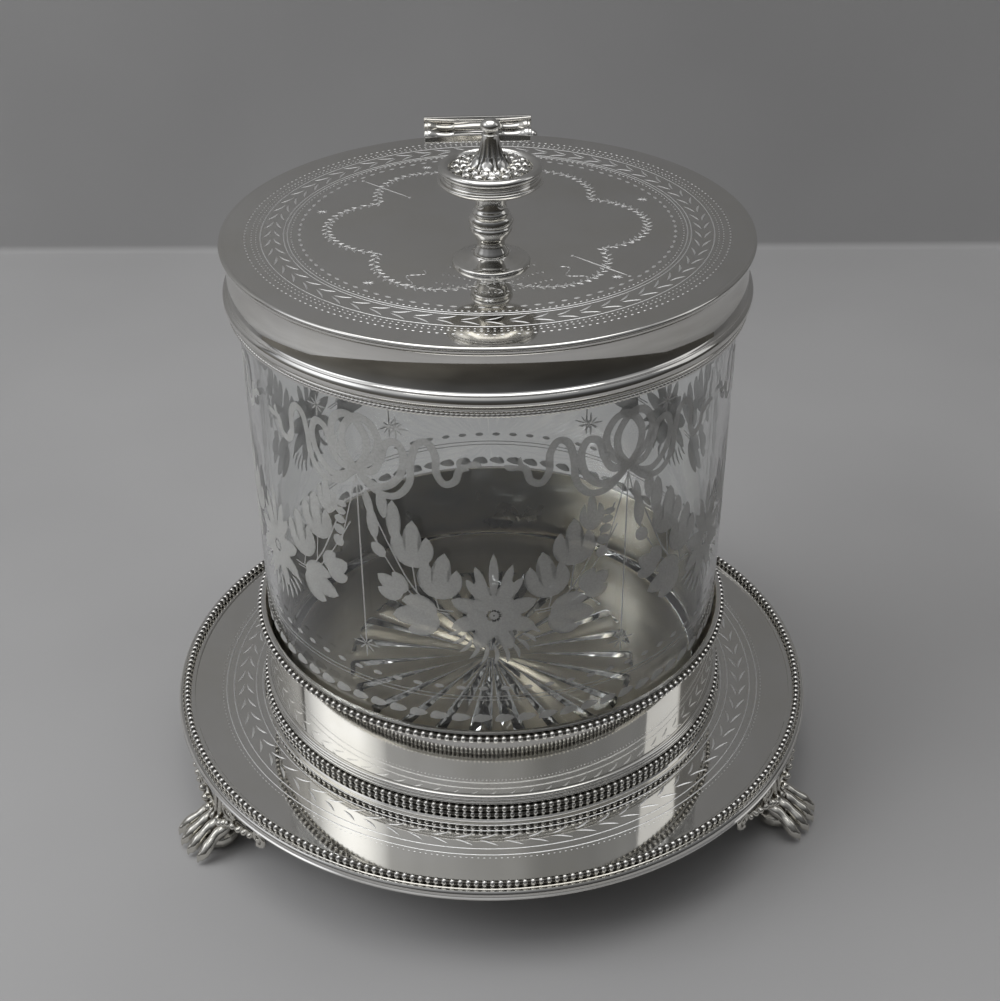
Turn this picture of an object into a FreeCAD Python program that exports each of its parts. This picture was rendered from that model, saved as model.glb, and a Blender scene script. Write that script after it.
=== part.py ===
import FreeCAD, Part
import math
import os
import re
import Sketcher

# A Victorian style plated biscuit jar, in millimetres.
# The frame stands on the table with +Z up. The origin is on the table, on the axis of the tray.
# The hinge of the lid is at the back (+Y) and the lifting finial is towards the front (-Y).
# A round tray on three lion paw feet carries a low gallery ring. A loose glass cylinder stands in
# the ring. Its mouth has a plated mount, bedded in plaster, with a flat hinged lid.

DIMENSIONS = [
    ("rim_level", 24.7, "outer edge plane of the tray, above the table"),
    ("tray_radius", 103.0, "outer edge of the tray border"),
    ("tray_rise", 1.2, "flat of the tray above its edge plane"),
    ("tray_plate", 1.2, "sheet of the tray"),
    ("border_width", 5.1, "applied border of the tray, edge to inner step"),
    ("border_rise", 1.8, "top of the border above the edge plane"),
    ("border_lip", 1.4, "radial thickness of the border outside the tray sheet"),
    ("border_drop", 1.0, "border below the edge plane"),
    ("border_round", 2.1, "radius of the rounded reed at the edge of the border"),
    ("solder_gap", 0.04, "solder film between pieces that are fixed together"),
    ("tray_bead", 1.05, "radius of the bead wire on the tray border"),
    ("tray_bead_inset", 2.8, "bead wire from the edge of the tray"),
    ("glass_radius", 71.3, "outside of the glass cylinder"),
    ("glass_wall", 3.2, "wall of the glass"),
    ("glass_base", 8.5, "thick bottom of the glass"),
    ("glass_height", 151.5, "bottom of the glass to its ground top"),
    ("glass_round", 2.0, "round at the bottom edge of the glass"),
    ("rest_gap", 0.1, "air under the loose glass"),
    ("gallery_clearance", 0.8, "play between the glass and the gallery"),
    ("gallery_wall", 0.8, "sheet of the gallery"),
    ("gallery_height", 33.4, "gallery above the flat of the tray"),
    ("gallery_flange", 2.4, "width of the foot flange of the gallery"),
    ("flange_thick", 1.4, "thickness of the foot flange"),
    ("gallery_bead", 1.05, "radius of the bead wires of the gallery"),
    ("top_bead_drop", 1.9, "centre of the top bead wire below the gallery edge"),
    ("bead_spacing", 2.2, "upper foot bead wire above the lower one"),
    ("reed_height", 1.7, "height of each plain reed above the foot beads"),
    ("reed_depth", 0.9, "how far each reed stands out"),
    ("reed_round", 0.95, "radius of a reed"),
    ("plaster", 0.8, "plaster between the glass and the mount"),
    ("plaster_margin", 0.6, "plaster kept short of the lower edge of the mount"),
    ("mount_wall", 1.3, "wall of the mount"),
    ("mount_height", 17.0, "lower bead wire to the top edge of the mount"),
    ("mount_bead", 0.75, "radius of the milled wire under the mount"),
    ("mount_flare", 1.6, "how far the lower bulge of the mount stands out"),
    ("flare_height", 4.2, "height of the lower bulge"),
    ("mount_reed", 1.4, "height of the plain reed under the bulge"),
    ("mount_reed_depth", 0.8, "how far that reed stands out"),
    ("mount_cove", 0.8, "top edge of the mount outside its straight wall"),
    ("cove_height", 2.9, "height of the cove under the lid"),
    ("cove_round", 3.4, "radius of the cove"),
    ("ledge_width", 1.0, "ledge of the mount over the glass, beyond the plaster"),
    ("ledge_clearance", 0.3, "ledge above the top of the glass"),
    ("lid_rest", 0.2, "air between the closed lid and the mount"),
    ("lid_overhang", 0.7, "edge of the lid beyond the mount"),
    ("lid_plate", 1.2, "sheet of the lid"),
    ("bezel_clearance", 0.5, "play between the bezel and the mount"),
    ("bezel_wall", 0.8, "sheet of the bezel under the lid"),
    ("bezel_depth", 2.6, "depth of the bezel"),
    ("hinge_offset", 2.9, "hinge axis beyond the edge of the lid"),
    ("hinge_drop", 2.0, "hinge axis below the top of the lid"),
    ("hinge_length", 34.7, "both outer knuckles with the middle one"),
    ("middle_length", 15.2, "length of the middle knuckle"),
    ("knuckle_gap", 0.2, "play between the knuckles"),
    ("knuckle_flare", 2.8, "radius of the flared ends of the barrel"),
    ("knuckle_neck", 1.7, "radius of the necks of the barrel"),
    ("knuckle_middle", 2.25, "largest radius of the middle knuckle"),
    ("pin_radius", 0.8, "hinge pin"),
    ("pin_play", 0.1, "bore of the knuckles over the pin"),
    ("pin_head", 1.8, "radius of the domed head of the pin"),
    ("stop_gap", 0.7, "barrel to the stop plate"),
    ("stop_plate", 1.3, "thickness of the stop plate"),
    ("stop_height", 5.3, "stop plate above the hinge axis"),
    ("bracket_foot", 3.6, "height of the bracket foot on the mount"),
    ("bracket_drop", 3.9, "top of the bracket foot below the hinge axis"),
    ("web_width", 4.6, "web that carries each outer knuckle"),
    ("web_height", 2.4, "height of that web"),
    ("finial_forward", 24.5, "finial axis in front of the lid's centre"),
    ("finial_foot_radius", 10.4, "base disc of the finial"),
    ("finial_foot_height", 2.6, "height of the base disc"),
    ("finial_foot_rim", 1.0, "edge of the base disc"),
    ("finial_foot_step", 0.4, "small step over the edge of the base disc"),
    ("finial_foot_shoulder", 7.6, "radius of the base disc inside that step"),
    ("finial_foot_neck", 4.9, "radius of the top of the base disc"),
    ("stem_seam", 10.8, "seam of the finial stem above the lid"),
    ("stem_neck", 3.6, "narrow neck of the stem"),
    ("stem_belly", 5.85, "widest radius of the stem"),
    ("stem_root", 4.6, "radius of the stem where it stands on the base disc"),
    ("stem_waist", 5.4, "level of the narrow neck above the lid"),
    ("stem_swell", 9.7, "widest level of the lower stem above the lid"),
    ("seam_radius", 5.3, "radius of the stem at its seam"),
    ("upper_swell", 11.8, "widest level of the upper stem above the lid"),
    ("upper_shoulder", 13.2, "shoulder of the upper stem above the lid"),
    ("shoulder_radius", 5.5, "radius of that shoulder"),
    ("shoulder_round", 2.6, "round between the widest level and the shoulder"),
    ("upper_waist", 14.4, "start of the upper neck above the lid"),
    ("upper_neck", 4.15, "radius of the upper neck"),
    ("stem_top", 20.2, "top of the stem above the lid"),
    ("saucer_radius", 13.8, "saucer of the finial"),
    ("saucer_level", 23.2, "edge of the saucer above the lid"),
    ("saucer_top", 24.9, "top of the saucer above the lid"),
    ("saucer_root", 4.9, "radius of the saucer where it meets the stem"),
    ("saucer_edge", 0.8, "half the thickness of the edge of the saucer"),
    ("saucer_lip", 0.95, "width of that edge"),
    ("saucer_shoulder", 12.3, "radius of the flat top of the saucer"),
    ("crown_radius", 11.6, "spread of the leaves over the saucer"),
    ("crown_top", 35.0, "top of the leaf crown above the lid"),
    ("crown_neck", 2.1, "radius of the top of the leaf crown"),
    ("crown_tuck", 0.8, "underside of the leaf crown inside its widest radius"),
    ("crown_swell", 1.0, "widest level of the leaf crown above the saucer"),
    ("skirt_radius", 6.2, "foot of the trumpet that rises from the leaves"),
    ("skirt_level", 26.6, "level of that foot above the lid"),
    ("crown_waist", 3.1, "radius of the trumpet half way up"),
    ("crown_waist_level", 29.0, "level of that radius above the lid"),
    ("ball_shank", 1.45, "radius of the shank under the ball"),
    ("ball_radius", 2.5, "ball on top of the finial"),
    ("ball_level", 37.2, "centre of the ball above the lid"),
    ("stud_radius", 1.5, "screw that holds the finial"),
    ("stud_play", 0.05, "bore of the finial pieces over the screw"),
    ("stud_reach", 30.0, "screw above the lid"),
    ("washer_radius", 4.6, "washer under the lid"),
    ("washer_thick", 0.8, "thickness of the washer"),
    ("nut_size", 3.2, "half the width of the nut over its corners"),
    ("nut_height", 2.2, "height of the nut"),
    ("stud_end", 1.0, "screw beyond the nut"),
    ("toe_overhang", 8.5, "tips of the toes beyond the edge of the tray"),
    ("toe_length", 5.4, "half length of a toe"),
    ("toe_width", 2.55, "half width of a toe"),
    ("toe_height", 4.1, "half height of a toe"),
    ("toe_sink", 0.6, "toe below the table before its sole is cut flat"),
    ("toe_pitch", 4.3, "one toe beside the next"),
    ("pad_length", 7.2, "half length of the paw behind the toes"),
    ("pad_width", 7.4, "half width of the paw"),
    ("pad_height", 5.6, "half height of the paw"),
    ("pad_sink", 1.2, "paw below the table before its sole is cut flat"),
    ("leg_radius", 4.2, "leg at the ankle"),
    ("leg_top", 6.2, "leg where it meets the bracket"),
    ("knee_radius", 4.35, "leg half way up"),
    ("leg_inset", 7.5, "top of the leg from the edge of the tray"),
    ("ankle_height", 6.5, "ankle above the table"),
    ("foot_seat", 0.05, "solder film over the foot and the bracket"),
    ("apron_outer", 2.6, "outside of the bracket from the edge of the tray"),
    ("apron_wall", 2.2, "thickness of the bracket"),
    ("apron_depth", 7.6, "depth of the bracket beside the leg"),
    ("bracket_gap", 0.3, "bracket beside the leg"),
    ("apron_length", 19.3, "deep part of the bracket, round the rim from the leg's middle"),
    ("wing_depth", 4.4, "depth of the wings of the bracket"),
    ("wing_length", 28.9, "wing of the bracket, round the rim from the leg's middle"),
    ("curl_radius", 2.7, "curl at the end of each wing"),
    ("curl_place", 28.0, "middle of the curl, round the rim from the leg's middle"),
    ("curl_proud", 0.4, "curl beyond each face of the wing"),
]

# The feet stand evenly round the tray, the first of them at the back, under the hinge.
FEET = ["back", "left", "right"]
TOES = 4
HINGE_SIDES = {"left": -1.0, "right": 1.0}
NUT_SIDES = 6

# Levels above the table, radii from the tray axis and the hinge, each worked out once.
DERIVED = [
    ("tray_top", "rim_level + tray_rise"),
    ("tray_under", "tray_top - tray_plate"),
    ("border_top", "rim_level + border_rise"),
    ("gallery_inner", "glass_radius + gallery_clearance"),
    ("gallery_outer", "gallery_inner + gallery_wall"),
    ("gallery_top", "tray_top + gallery_height"),
    ("flange_top", "tray_top + flange_thick"),
    ("wire_radius", "gallery_outer + gallery_bead + solder_gap"),
    ("lower_bead", "flange_top + gallery_bead + solder_gap"),
    ("upper_bead", "lower_bead + bead_spacing"),
    ("reed_bottom", "upper_bead + gallery_bead + solder_gap"),
    ("glass_bottom", "tray_top + rest_gap"),
    ("glass_top", "glass_bottom + glass_height"),
    ("mount_inner", "glass_radius + plaster"),
    ("mount_outer", "mount_inner + mount_wall"),
    ("ledge_bottom", "glass_top + ledge_clearance"),
    ("mount_top", "ledge_bottom + bezel_depth + lid_rest"),
    ("mount_bottom", "mount_top - mount_height"),
    ("ledge_inner", "glass_radius - ledge_width + plaster"),
    ("reed_top", "mount_bottom + mount_reed"),
    ("flare_top", "reed_top + flare_height"),
    ("cove_bottom", "mount_top - cove_height"),
    ("lid_bottom", "mount_top + lid_rest"),
    ("lid_top", "lid_bottom + lid_plate"),
    ("lid_radius", "mount_outer + mount_cove + lid_overhang"),
    ("bezel_outer", "ledge_inner - bezel_clearance"),
    ("hinge_back", "lid_radius + hinge_offset"),
    ("bracket_front", "sqrt( mount_outer ^ 2 - hinge_length ^ 2 / 4 ) - mount_wall"),
    ("hinge_level", "lid_top - hinge_drop"),
    ("knuckle_bore", "pin_radius + pin_play"),
    ("stop_front", "hinge_back + knuckle_flare + stop_gap"),
    ("foot_top", "tray_under - foot_seat"),
    ("foot_reach", "tray_radius + toe_overhang"),
    ("apron_radius", "tray_radius - apron_outer"),
    ("leg_angle", "( leg_top + bracket_gap ) / apron_radius * 180 / pi"),
    ("apron_angle", "apron_length / apron_radius * 180 / pi"),
    ("wing_angle", "wing_length / apron_radius * 180 / pi"),
    ("curl_angle", "curl_place / apron_radius * 180 / pi"),
    ("stud_bore", "stud_radius + stud_play"),
]

doc = FreeCAD.newDocument("biscuit_jar")
sheet = doc.addObject("Spreadsheet::Sheet", "dims")


def fill_sheet():
    """Put the driving dimensions and the derived levels in the sheet, one alias to a row."""
    aliases = [alias for alias, _, _ in DIMENSIONS] + [alias for alias, _ in DERIVED]
    for row, (alias, value, note) in enumerate(DIMENSIONS, start=1):
        sheet.set(f"A{row}", alias)
        sheet.set(f"B{row}", str(value))
        sheet.setAlias(f"B{row}", alias)
        sheet.set(f"C{row}", note)
    for row, (alias, rule) in enumerate(DERIVED, start=len(DIMENSIONS) + 1):
        sheet.set(f"A{row}", alias)
        sheet.set(f"B{row}", "=" + rule)
        sheet.setAlias(f"B{row}", alias)
    doc.recompute()
    return set(aliases)


ALIASES = fill_sheet()


def size(alias):
    """Value of one cell of the sheet, as a plain number."""
    return float(getattr(sheet, alias))


def rule(text):
    """Turn a rule in plain aliases into one that names the sheet's cells."""
    return re.sub(r"[a-z]\w*", lambda word: named_cell(word.group()), text)


def named_cell(word):
    """Name of a sheet cell as other objects write it. Other words, such as pi, stay as they are."""
    return "dims." + word if word in ALIASES else word


def worth(text):
    """Number that a rule gives with the sheet as it stands."""
    return float(sheet.evalExpression(rule(text)))


def bind(item, **rules):
    """Tie properties to the sheet. A double underscore in a name stands for a dot."""
    for name, text in rules.items():
        item.setExpression(name.replace("__", "."), rule(text))
    return item


def primitive(kind, label, **rules):
    """Part primitive with its sizes and place tied to the sheet."""
    return bind(doc.addObject("Part::" + kind, label), **rules)


def origin_plane(body, role):
    """One of a body's own three planes."""
    return next(item for item in body.Origin.OriginFeatures if item.Role == role)


def fix_point(sketch, curve, end, across, up):
    """Hold one end of a curve at a place given by two rules."""
    if across == "0":
        sketch.addConstraint(Sketcher.Constraint("PointOnObject", curve, end, -2))
    else:
        wide = sketch.addConstraint(Sketcher.Constraint("DistanceX", -1, 1, curve, end, worth(across)))
        sketch.setExpression(f"Constraints[{wide}]", rule(across))
    high = sketch.addConstraint(Sketcher.Constraint("DistanceY", -1, 1, curve, end, worth(up)))
    sketch.setExpression(f"Constraints[{high}]", rule(up))


def arc_between(start, finish, radius, side):
    """Arc from start to finish. Side is 1 where it bulges to the left of that way, else -1."""
    chord = finish.sub(start)
    half = chord.Length / 2
    height = math.sqrt(max(radius**2 - half**2, 0.0))
    left = FreeCAD.Vector(-chord.y, chord.x, 0).normalize()
    centre = start.add(chord * 0.5).sub(left * (side * height))
    top = centre.add(left * (side * radius))
    return Part.Arc(start, top, finish)


def outline(sketch, points):
    """Closed outline. Each point is (across, up) or, after an arc, (across, up, radius, side)."""
    places = [FreeCAD.Vector(worth(point[0]), worth(point[1]), 0) for point in points]
    count = len(points)
    for index, point in enumerate(points):
        start = places[index - 1]
        if len(point) == 4:
            curve = arc_between(start, places[index], worth(point[2]), point[3])
        else:
            curve = Part.LineSegment(start, places[index])
        sketch.addGeometry(curve, False)
    for index, point in enumerate(points):
        start_end, last_end = ends_in_order(sketch, index, places[index - 1])
        follower = (index + 1) % count
        next_start, _ = ends_in_order(sketch, follower, places[index])
        sketch.addConstraint(Sketcher.Constraint("Coincident", index, last_end, follower, next_start))
        fix_point(sketch, index, last_end, point[0], point[1])
        if len(point) == 4:
            held = sketch.addConstraint(Sketcher.Constraint("Radius", index, worth(point[2])))
            sketch.setExpression(f"Constraints[{held}]", rule(point[2]))


def ends_in_order(sketch, curve, start):
    """End numbers of a curve, the one at the given start first: arcs always run anticlockwise."""
    first = sketch.getPoint(curve, 1)
    return (1, 2) if first.sub(start).Length < 1e-6 else (2, 1)


def turned(label, points, body=None):
    """Piece turned about its own upright axis from an outline of radius and height."""
    body = body or doc.addObject("PartDesign::Body", label)
    sketch = body.newObject("Sketcher::SketchObject", label + "_outline")
    sketch.AttachmentSupport = (origin_plane(body, "XZ_Plane"), [""])
    sketch.MapMode = "FlatFace"
    outline(sketch, points)
    turn = body.newObject("PartDesign::Revolution", label + "_turning")
    turn.Profile = sketch
    turn.ReferenceAxis = (sketch, ["V_Axis"])
    turn.Angle = 360.0
    return body


def ring(label, radius, wire, level):
    """Round wire bent to a ring."""
    return primitive("Torus", label, Radius1=radius, Radius2=wire, Placement__Base__z=level)


def tube(label, outer, inner, bottom, top):
    """Plain ring with a square section."""
    return turned(label, [(inner, bottom), (outer, bottom), (outer, top), (inner, top)])


def joined(label, pieces):
    """Several solids made one."""
    fuse = doc.addObject("Part::MultiFuse", label)
    fuse.Shapes = pieces
    return fuse


def cut(label, base, tool):
    """One solid with another cut out of it."""
    item = doc.addObject("Part::Cut", label)
    item.Base = base
    item.Tool = tool
    return item


def tray():
    """Spun disc of the tray, with the engraved flat on top."""
    return turned(
        "tray",
        [
            ("0", "tray_under"),
            ("tray_radius - border_lip - solder_gap", "tray_under"),
            ("tray_radius - border_lip - solder_gap", "tray_top"),
            ("0", "tray_top"),
        ],
    )


def tray_border():
    """Applied border: a step inside, a flat for the bead wire, and a rounded outer reed."""
    return turned(
        "tray_border",
        [
            ("tray_radius - border_width", "tray_top + solder_gap"),
            ("tray_radius - border_lip", "tray_top + solder_gap"),
            ("tray_radius - border_lip", "rim_level - border_drop"),
            ("tray_radius", "rim_level - border_drop"),
            ("tray_radius - border_lip", "border_top", "border_round", -1),
            ("tray_radius - border_width", "border_top"),
        ],
    )


def tray_bead_wire():
    """Bead wire that runs round the top of the border."""
    return ring(
        "tray_bead_wire",
        "tray_radius - tray_bead_inset",
        "tray_bead",
        "border_top + tray_bead + solder_gap",
    )


def gallery_band():
    """Upright ring round the foot of the glass, with a flange that is soldered to the tray."""
    return turned(
        "gallery_band",
        [
            ("gallery_inner", "tray_top"),
            ("gallery_outer + gallery_flange", "tray_top"),
            ("gallery_outer + gallery_flange", "flange_top"),
            ("gallery_outer", "flange_top"),
            ("gallery_outer", "gallery_top"),
            ("gallery_inner", "gallery_top"),
        ],
    )


def gallery_beads():
    """Three bead wires: one under the upper edge of the gallery, and two on its foot flange."""
    levels = {
        "gallery_top_bead": "gallery_top - top_bead_drop",
        "gallery_upper_foot_bead": "upper_bead",
        "gallery_lower_foot_bead": "lower_bead",
    }
    return [ring(label, "wire_radius", "gallery_bead", level) for label, level in levels.items()]


def gallery_reeds():
    """Collar with two plain reeds, over the foot bead wires."""
    root = "gallery_outer + solder_gap"
    face = "gallery_outer + reed_depth / 2"
    return turned(
        "gallery_reeds",
        [
            (root, "reed_bottom"),
            (face, "reed_bottom"),
            (face, "reed_bottom + reed_height", "reed_round", -1),
            (face, "reed_bottom + 2 * reed_height", "reed_round", -1),
            (root, "reed_bottom + 2 * reed_height"),
        ],
    )


def glass_jar():
    """Plain cylinder with a thick bottom."""
    inner = "glass_radius - glass_wall"
    return turned(
        "glass_jar",
        [
            ("0", "glass_bottom"),
            ("glass_radius - glass_round", "glass_bottom"),
            ("glass_radius", "glass_bottom + glass_round", "glass_round", -1),
            ("glass_radius", "glass_top"),
            (inner, "glass_top"),
            (inner, "glass_bottom + glass_base"),
            ("0", "glass_bottom + glass_base"),
        ],
    )


def plaster_bed():
    """Plaster that holds the mount to the glass."""
    return tube(
        "plaster_bed",
        "mount_inner - solder_gap",
        "glass_radius + solder_gap",
        "mount_bottom + plaster_margin",
        "glass_top",
    )


def mount_band():
    """Mount: a plain reed, a bulge, a straight wall, a cove under the lid and a ledge inside."""
    return turned(
        "mount_band",
        [
            ("mount_inner", "mount_bottom"),
            ("mount_outer", "mount_bottom"),
            ("mount_outer + mount_reed_depth", "mount_bottom + mount_reed / 3"),
            ("mount_outer + mount_reed_depth", "reed_top - mount_reed / 3"),
            ("mount_outer", "reed_top"),
            ("mount_outer + mount_flare", "reed_top + flare_height / 4", "flare_height / 2", -1),
            ("mount_outer", "flare_top", "flare_height", -1),
            ("mount_outer", "cove_bottom"),
            ("mount_outer + mount_cove", "mount_top", "cove_round", 1),
            ("ledge_inner", "mount_top"),
            ("ledge_inner", "ledge_bottom"),
            ("mount_inner", "ledge_bottom"),
        ],
    )


def mount_bead_wire():
    """Milled wire that finishes the lower edge of the mount."""
    return ring(
        "mount_bead_wire",
        "mount_outer",
        "mount_bead",
        "mount_bottom - mount_bead - solder_gap",
    )


def lid_plate():
    """Flat engraved lid with a rounded edge and a hole for the screw of the finial."""
    body = turned(
        "lid_plate",
        [
            ("0", "lid_bottom"),
            ("lid_radius - lid_plate / 2", "lid_bottom"),
            ("lid_radius - lid_plate / 2", "lid_top", "lid_plate * 0.51", -1),
            ("0", "lid_top"),
        ],
    )
    sketch = body.newObject("Sketcher::SketchObject", "lid_plate_hole_outline")
    sketch.AttachmentSupport = (origin_plane(body, "XY_Plane"), [""])
    sketch.MapMode = "FlatFace"
    hole = Part.Circle(FreeCAD.Vector(0, -size("finial_forward"), 0), FreeCAD.Vector(0, 0, 1), 1.0)
    sketch.addGeometry(hole, False)
    sketch.addConstraint(Sketcher.Constraint("PointOnObject", 0, 3, -2))
    forward = sketch.addConstraint(
        Sketcher.Constraint("DistanceY", 0, 3, -1, 1, size("finial_forward"))
    )
    sketch.setExpression(f"Constraints[{forward}]", rule("finial_forward"))
    bore = sketch.addConstraint(Sketcher.Constraint("Radius", 0, size("stud_bore")))
    sketch.setExpression(f"Constraints[{bore}]", rule("stud_bore"))
    doc.recompute()
    pocket = body.newObject("PartDesign::Pocket", "lid_plate_hole")
    pocket.Profile = sketch
    pocket.Type = "ThroughAll"
    pocket.Reversed = True
    return body


def lid_bezel():
    """Ring under the lid that drops inside the mount."""
    return tube(
        "lid_bezel",
        "bezel_outer",
        "bezel_outer - bezel_wall",
        "lid_bottom - bezel_depth",
        "lid_bottom",
    )


def knuckle(label, stations, bore="knuckle_bore"):
    """Turned knuckle along X. Stations are (radius, place along X) from left to right."""
    start, finish = stations[0][1], stations[-1][1]
    body = turned(label, [(bore, start)] + stations + [(bore, finish)])
    body.Placement = FreeCAD.Placement(
        FreeCAD.Vector(0, 0, 0), FreeCAD.Rotation(FreeCAD.Vector(0, 1, 0), 90)
    )
    return bind(body, Placement__Base__y="hinge_back", Placement__Base__z="hinge_level")


def hinge_leaf():
    """Middle knuckle of the hinge with the short leaf that is soldered to the lid's edge."""
    half = "middle_length / 2"
    middle = knuckle(
        "middle_knuckle",
        [
            ("knuckle_neck", "-" + half),
            ("knuckle_middle", "-" + half + " / 2"),
            ("knuckle_middle", half + " / 2"),
            ("knuckle_neck", half),
        ],
    )
    leaf = primitive(
        "Box",
        "leaf_blank",
        Length="middle_length",
        Width="hinge_offset + hinge_offset - knuckle_bore",
        Height="lid_plate",
        Placement__Base__x="-" + half,
        Placement__Base__y="lid_radius - hinge_offset",
        Placement__Base__z="lid_bottom",
    )
    edge = primitive(
        "Cylinder",
        "leaf_edge",
        Radius="lid_radius + solder_gap",
        Height="lid_top",
    )
    return joined("lid_hinge_leaf", [cut("leaf_tongue", leaf, edge), middle])


def hinge_bracket():
    """Stop plate behind the barrel, its foot on the mount, and the two outer knuckles."""
    half = "hinge_length / 2"
    inner = "( middle_length / 2 + knuckle_gap )"
    pieces = []
    for side, sign in HINGE_SIDES.items():
        stations = [
            ("knuckle_neck", inner),
            ("knuckle_neck", f"{inner} + knuckle_neck"),
            ("knuckle_flare", f"{half} - knuckle_neck"),
            ("knuckle_flare", half),
        ]
        body = knuckle(side + "_knuckle", stations)
        if sign < 0:
            body.Placement.Rotation = FreeCAD.Rotation(FreeCAD.Vector(0, 1, 0), -90)
        pieces.append(body)
        web = primitive(
            "Box",
            side + "_web",
            Length="web_width",
            Width="stop_front - hinge_back",
            Height="web_height",
            Placement__Base__x=f"{half} - web_width" if sign > 0 else f"-{half}",
            Placement__Base__y="hinge_back",
            Placement__Base__z="hinge_level - web_height / 2",
        )
        bore = primitive(
            "Cylinder",
            side + "_web_bore",
            Radius="knuckle_bore",
            Height="hinge_length",
            Placement__Base__x=f"-{half}",
            Placement__Base__y="hinge_back",
            Placement__Base__z="hinge_level",
        )
        bore.Placement.Rotation = FreeCAD.Rotation(FreeCAD.Vector(0, 1, 0), 90)
        pieces.append(cut(side + "_bored_web", web, bore))
    plate = primitive(
        "Box",
        "stop_plate_body",
        Length="hinge_length",
        Width="stop_plate",
        Height="stop_height + bracket_drop + bracket_foot",
        Placement__Base__x=f"-{half}",
        Placement__Base__y="stop_front",
        Placement__Base__z="hinge_level - bracket_drop - bracket_foot",
    )
    foot = primitive(
        "Box",
        "bracket_foot_blank",
        Length="hinge_length",
        Width="stop_front - bracket_front",
        Height="bracket_foot",
        Placement__Base__x=f"-{half}",
        Placement__Base__y="bracket_front",
        Placement__Base__z="hinge_level - bracket_drop - bracket_foot",
    )
    wall = primitive(
        "Cylinder",
        "bracket_foot_seat",
        Radius="mount_outer + solder_gap",
        Height="lid_top",
    )
    pieces.append(cut("bracket_foot_body", foot, wall))
    pieces.append(plate)
    return joined("hinge_bracket", pieces)


def hinge_pin():
    """Pin through the three knuckles, with a domed head outside the right one."""
    shank = primitive(
        "Cylinder",
        "hinge_pin_shank",
        Radius="pin_radius",
        Height="hinge_length + knuckle_gap",
        Placement__Base__x="-hinge_length / 2",
        Placement__Base__y="hinge_back",
        Placement__Base__z="hinge_level",
    )
    shank.Placement.Rotation = FreeCAD.Rotation(FreeCAD.Vector(0, 1, 0), 90)
    head = primitive(
        "Sphere",
        "hinge_pin_head",
        Radius="pin_head",
        Angle1="0",
        Placement__Base__x="hinge_length / 2 + knuckle_gap / 2",
        Placement__Base__y="hinge_back",
        Placement__Base__z="hinge_level",
    )
    head.Placement.Rotation = FreeCAD.Rotation(FreeCAD.Vector(0, 1, 0), 90)
    return joined("hinge_pin", [shank, head])


def finial_piece(label, stations):
    """Turned piece of the finial. Stations are (radius, height above the lid), from the bottom."""
    bore = "stud_bore"
    points = [(bore, "lid_top + " + stations[0][1])]
    for station in stations:
        points.append((station[0], "lid_top + " + station[1]) + tuple(station[2:]))
    points.append((bore, "lid_top + " + stations[-1][1]))
    body = turned(label, points)
    return bind(body, Placement__Base__y="-finial_forward")


def finial():
    """The five turned and cast pieces that the screw clamps to the lid, and the ball."""
    joint = "solder_gap"
    lip = "saucer_radius - saucer_lip"
    foot = finial_piece(
        "finial_foot",
        [
            ("finial_foot_radius", "0"),
            ("finial_foot_radius", "finial_foot_rim"),
            ("finial_foot_shoulder", "finial_foot_rim + finial_foot_step"),
            ("finial_foot_neck", "finial_foot_height", "finial_foot_radius", 1),
        ],
    )
    lower = finial_piece(
        "finial_stem_lower",
        [
            ("stem_root", "finial_foot_height + " + joint),
            ("stem_neck", "stem_waist"),
            ("stem_belly", "stem_swell", "stem_seam", -1),
            ("seam_radius", "stem_seam"),
        ],
    )
    upper = finial_piece(
        "finial_stem_upper",
        [
            ("seam_radius", f"stem_seam + {joint}"),
            ("stem_belly", "upper_swell"),
            ("shoulder_radius", "upper_shoulder", "shoulder_round", -1),
            ("upper_neck", "upper_waist"),
            ("upper_neck", "stem_top"),
        ],
    )
    saucer = finial_piece(
        "finial_saucer",
        [
            ("saucer_root", f"stem_top + {joint}"),
            (lip, "saucer_level - saucer_edge", "saucer_radius * 1.6", -1),
            ("saucer_radius", "saucer_level"),
            (lip, "saucer_level + saucer_edge"),
            ("saucer_shoulder", "saucer_top", "saucer_radius", 1),
        ],
    )
    crown = finial_piece(
        "finial_leaf_crown",
        [
            ("crown_radius - crown_tuck", f"saucer_top + {joint}"),
            ("crown_radius", "saucer_top + crown_swell"),
            ("skirt_radius", "skirt_level"),
            ("crown_waist", "crown_waist_level"),
            ("crown_neck", "crown_top", "crown_radius * 1.8", 1),
        ],
    )
    return [foot, lower, upper, saucer, crown]


def finial_ball():
    """Ball on a short shank, screwed into the top of the leaf crown."""
    ball = primitive(
        "Sphere",
        "finial_ball_body",
        Radius="ball_radius",
        Placement__Base__y="-finial_forward",
        Placement__Base__z="lid_top + ball_level",
    )
    shank = primitive(
        "Cylinder",
        "finial_ball_shank",
        Radius="ball_shank",
        Height="ball_level - crown_top - solder_gap",
        Placement__Base__y="-finial_forward",
        Placement__Base__z="lid_top + crown_top + solder_gap",
    )
    return joined("finial_ball", [ball, shank])


def finial_screw():
    """Screw from the nut under the lid up into the leaf crown."""
    return primitive(
        "Cylinder",
        "finial_screw",
        Radius="stud_radius",
        Height="stud_reach + lid_plate + washer_thick + nut_height + stud_end",
        Placement__Base__y="-finial_forward",
        Placement__Base__z="lid_bottom - washer_thick - nut_height - stud_end",
    )


def under_lid(label, blank):
    """Washer or nut under the lid, bored for the screw."""
    bore = primitive(
        "Cylinder",
        label + "_bore",
        Radius="stud_bore",
        Height="lid_top",
        Placement__Base__y="-finial_forward",
    )
    return cut(label, blank, bore)


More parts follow.
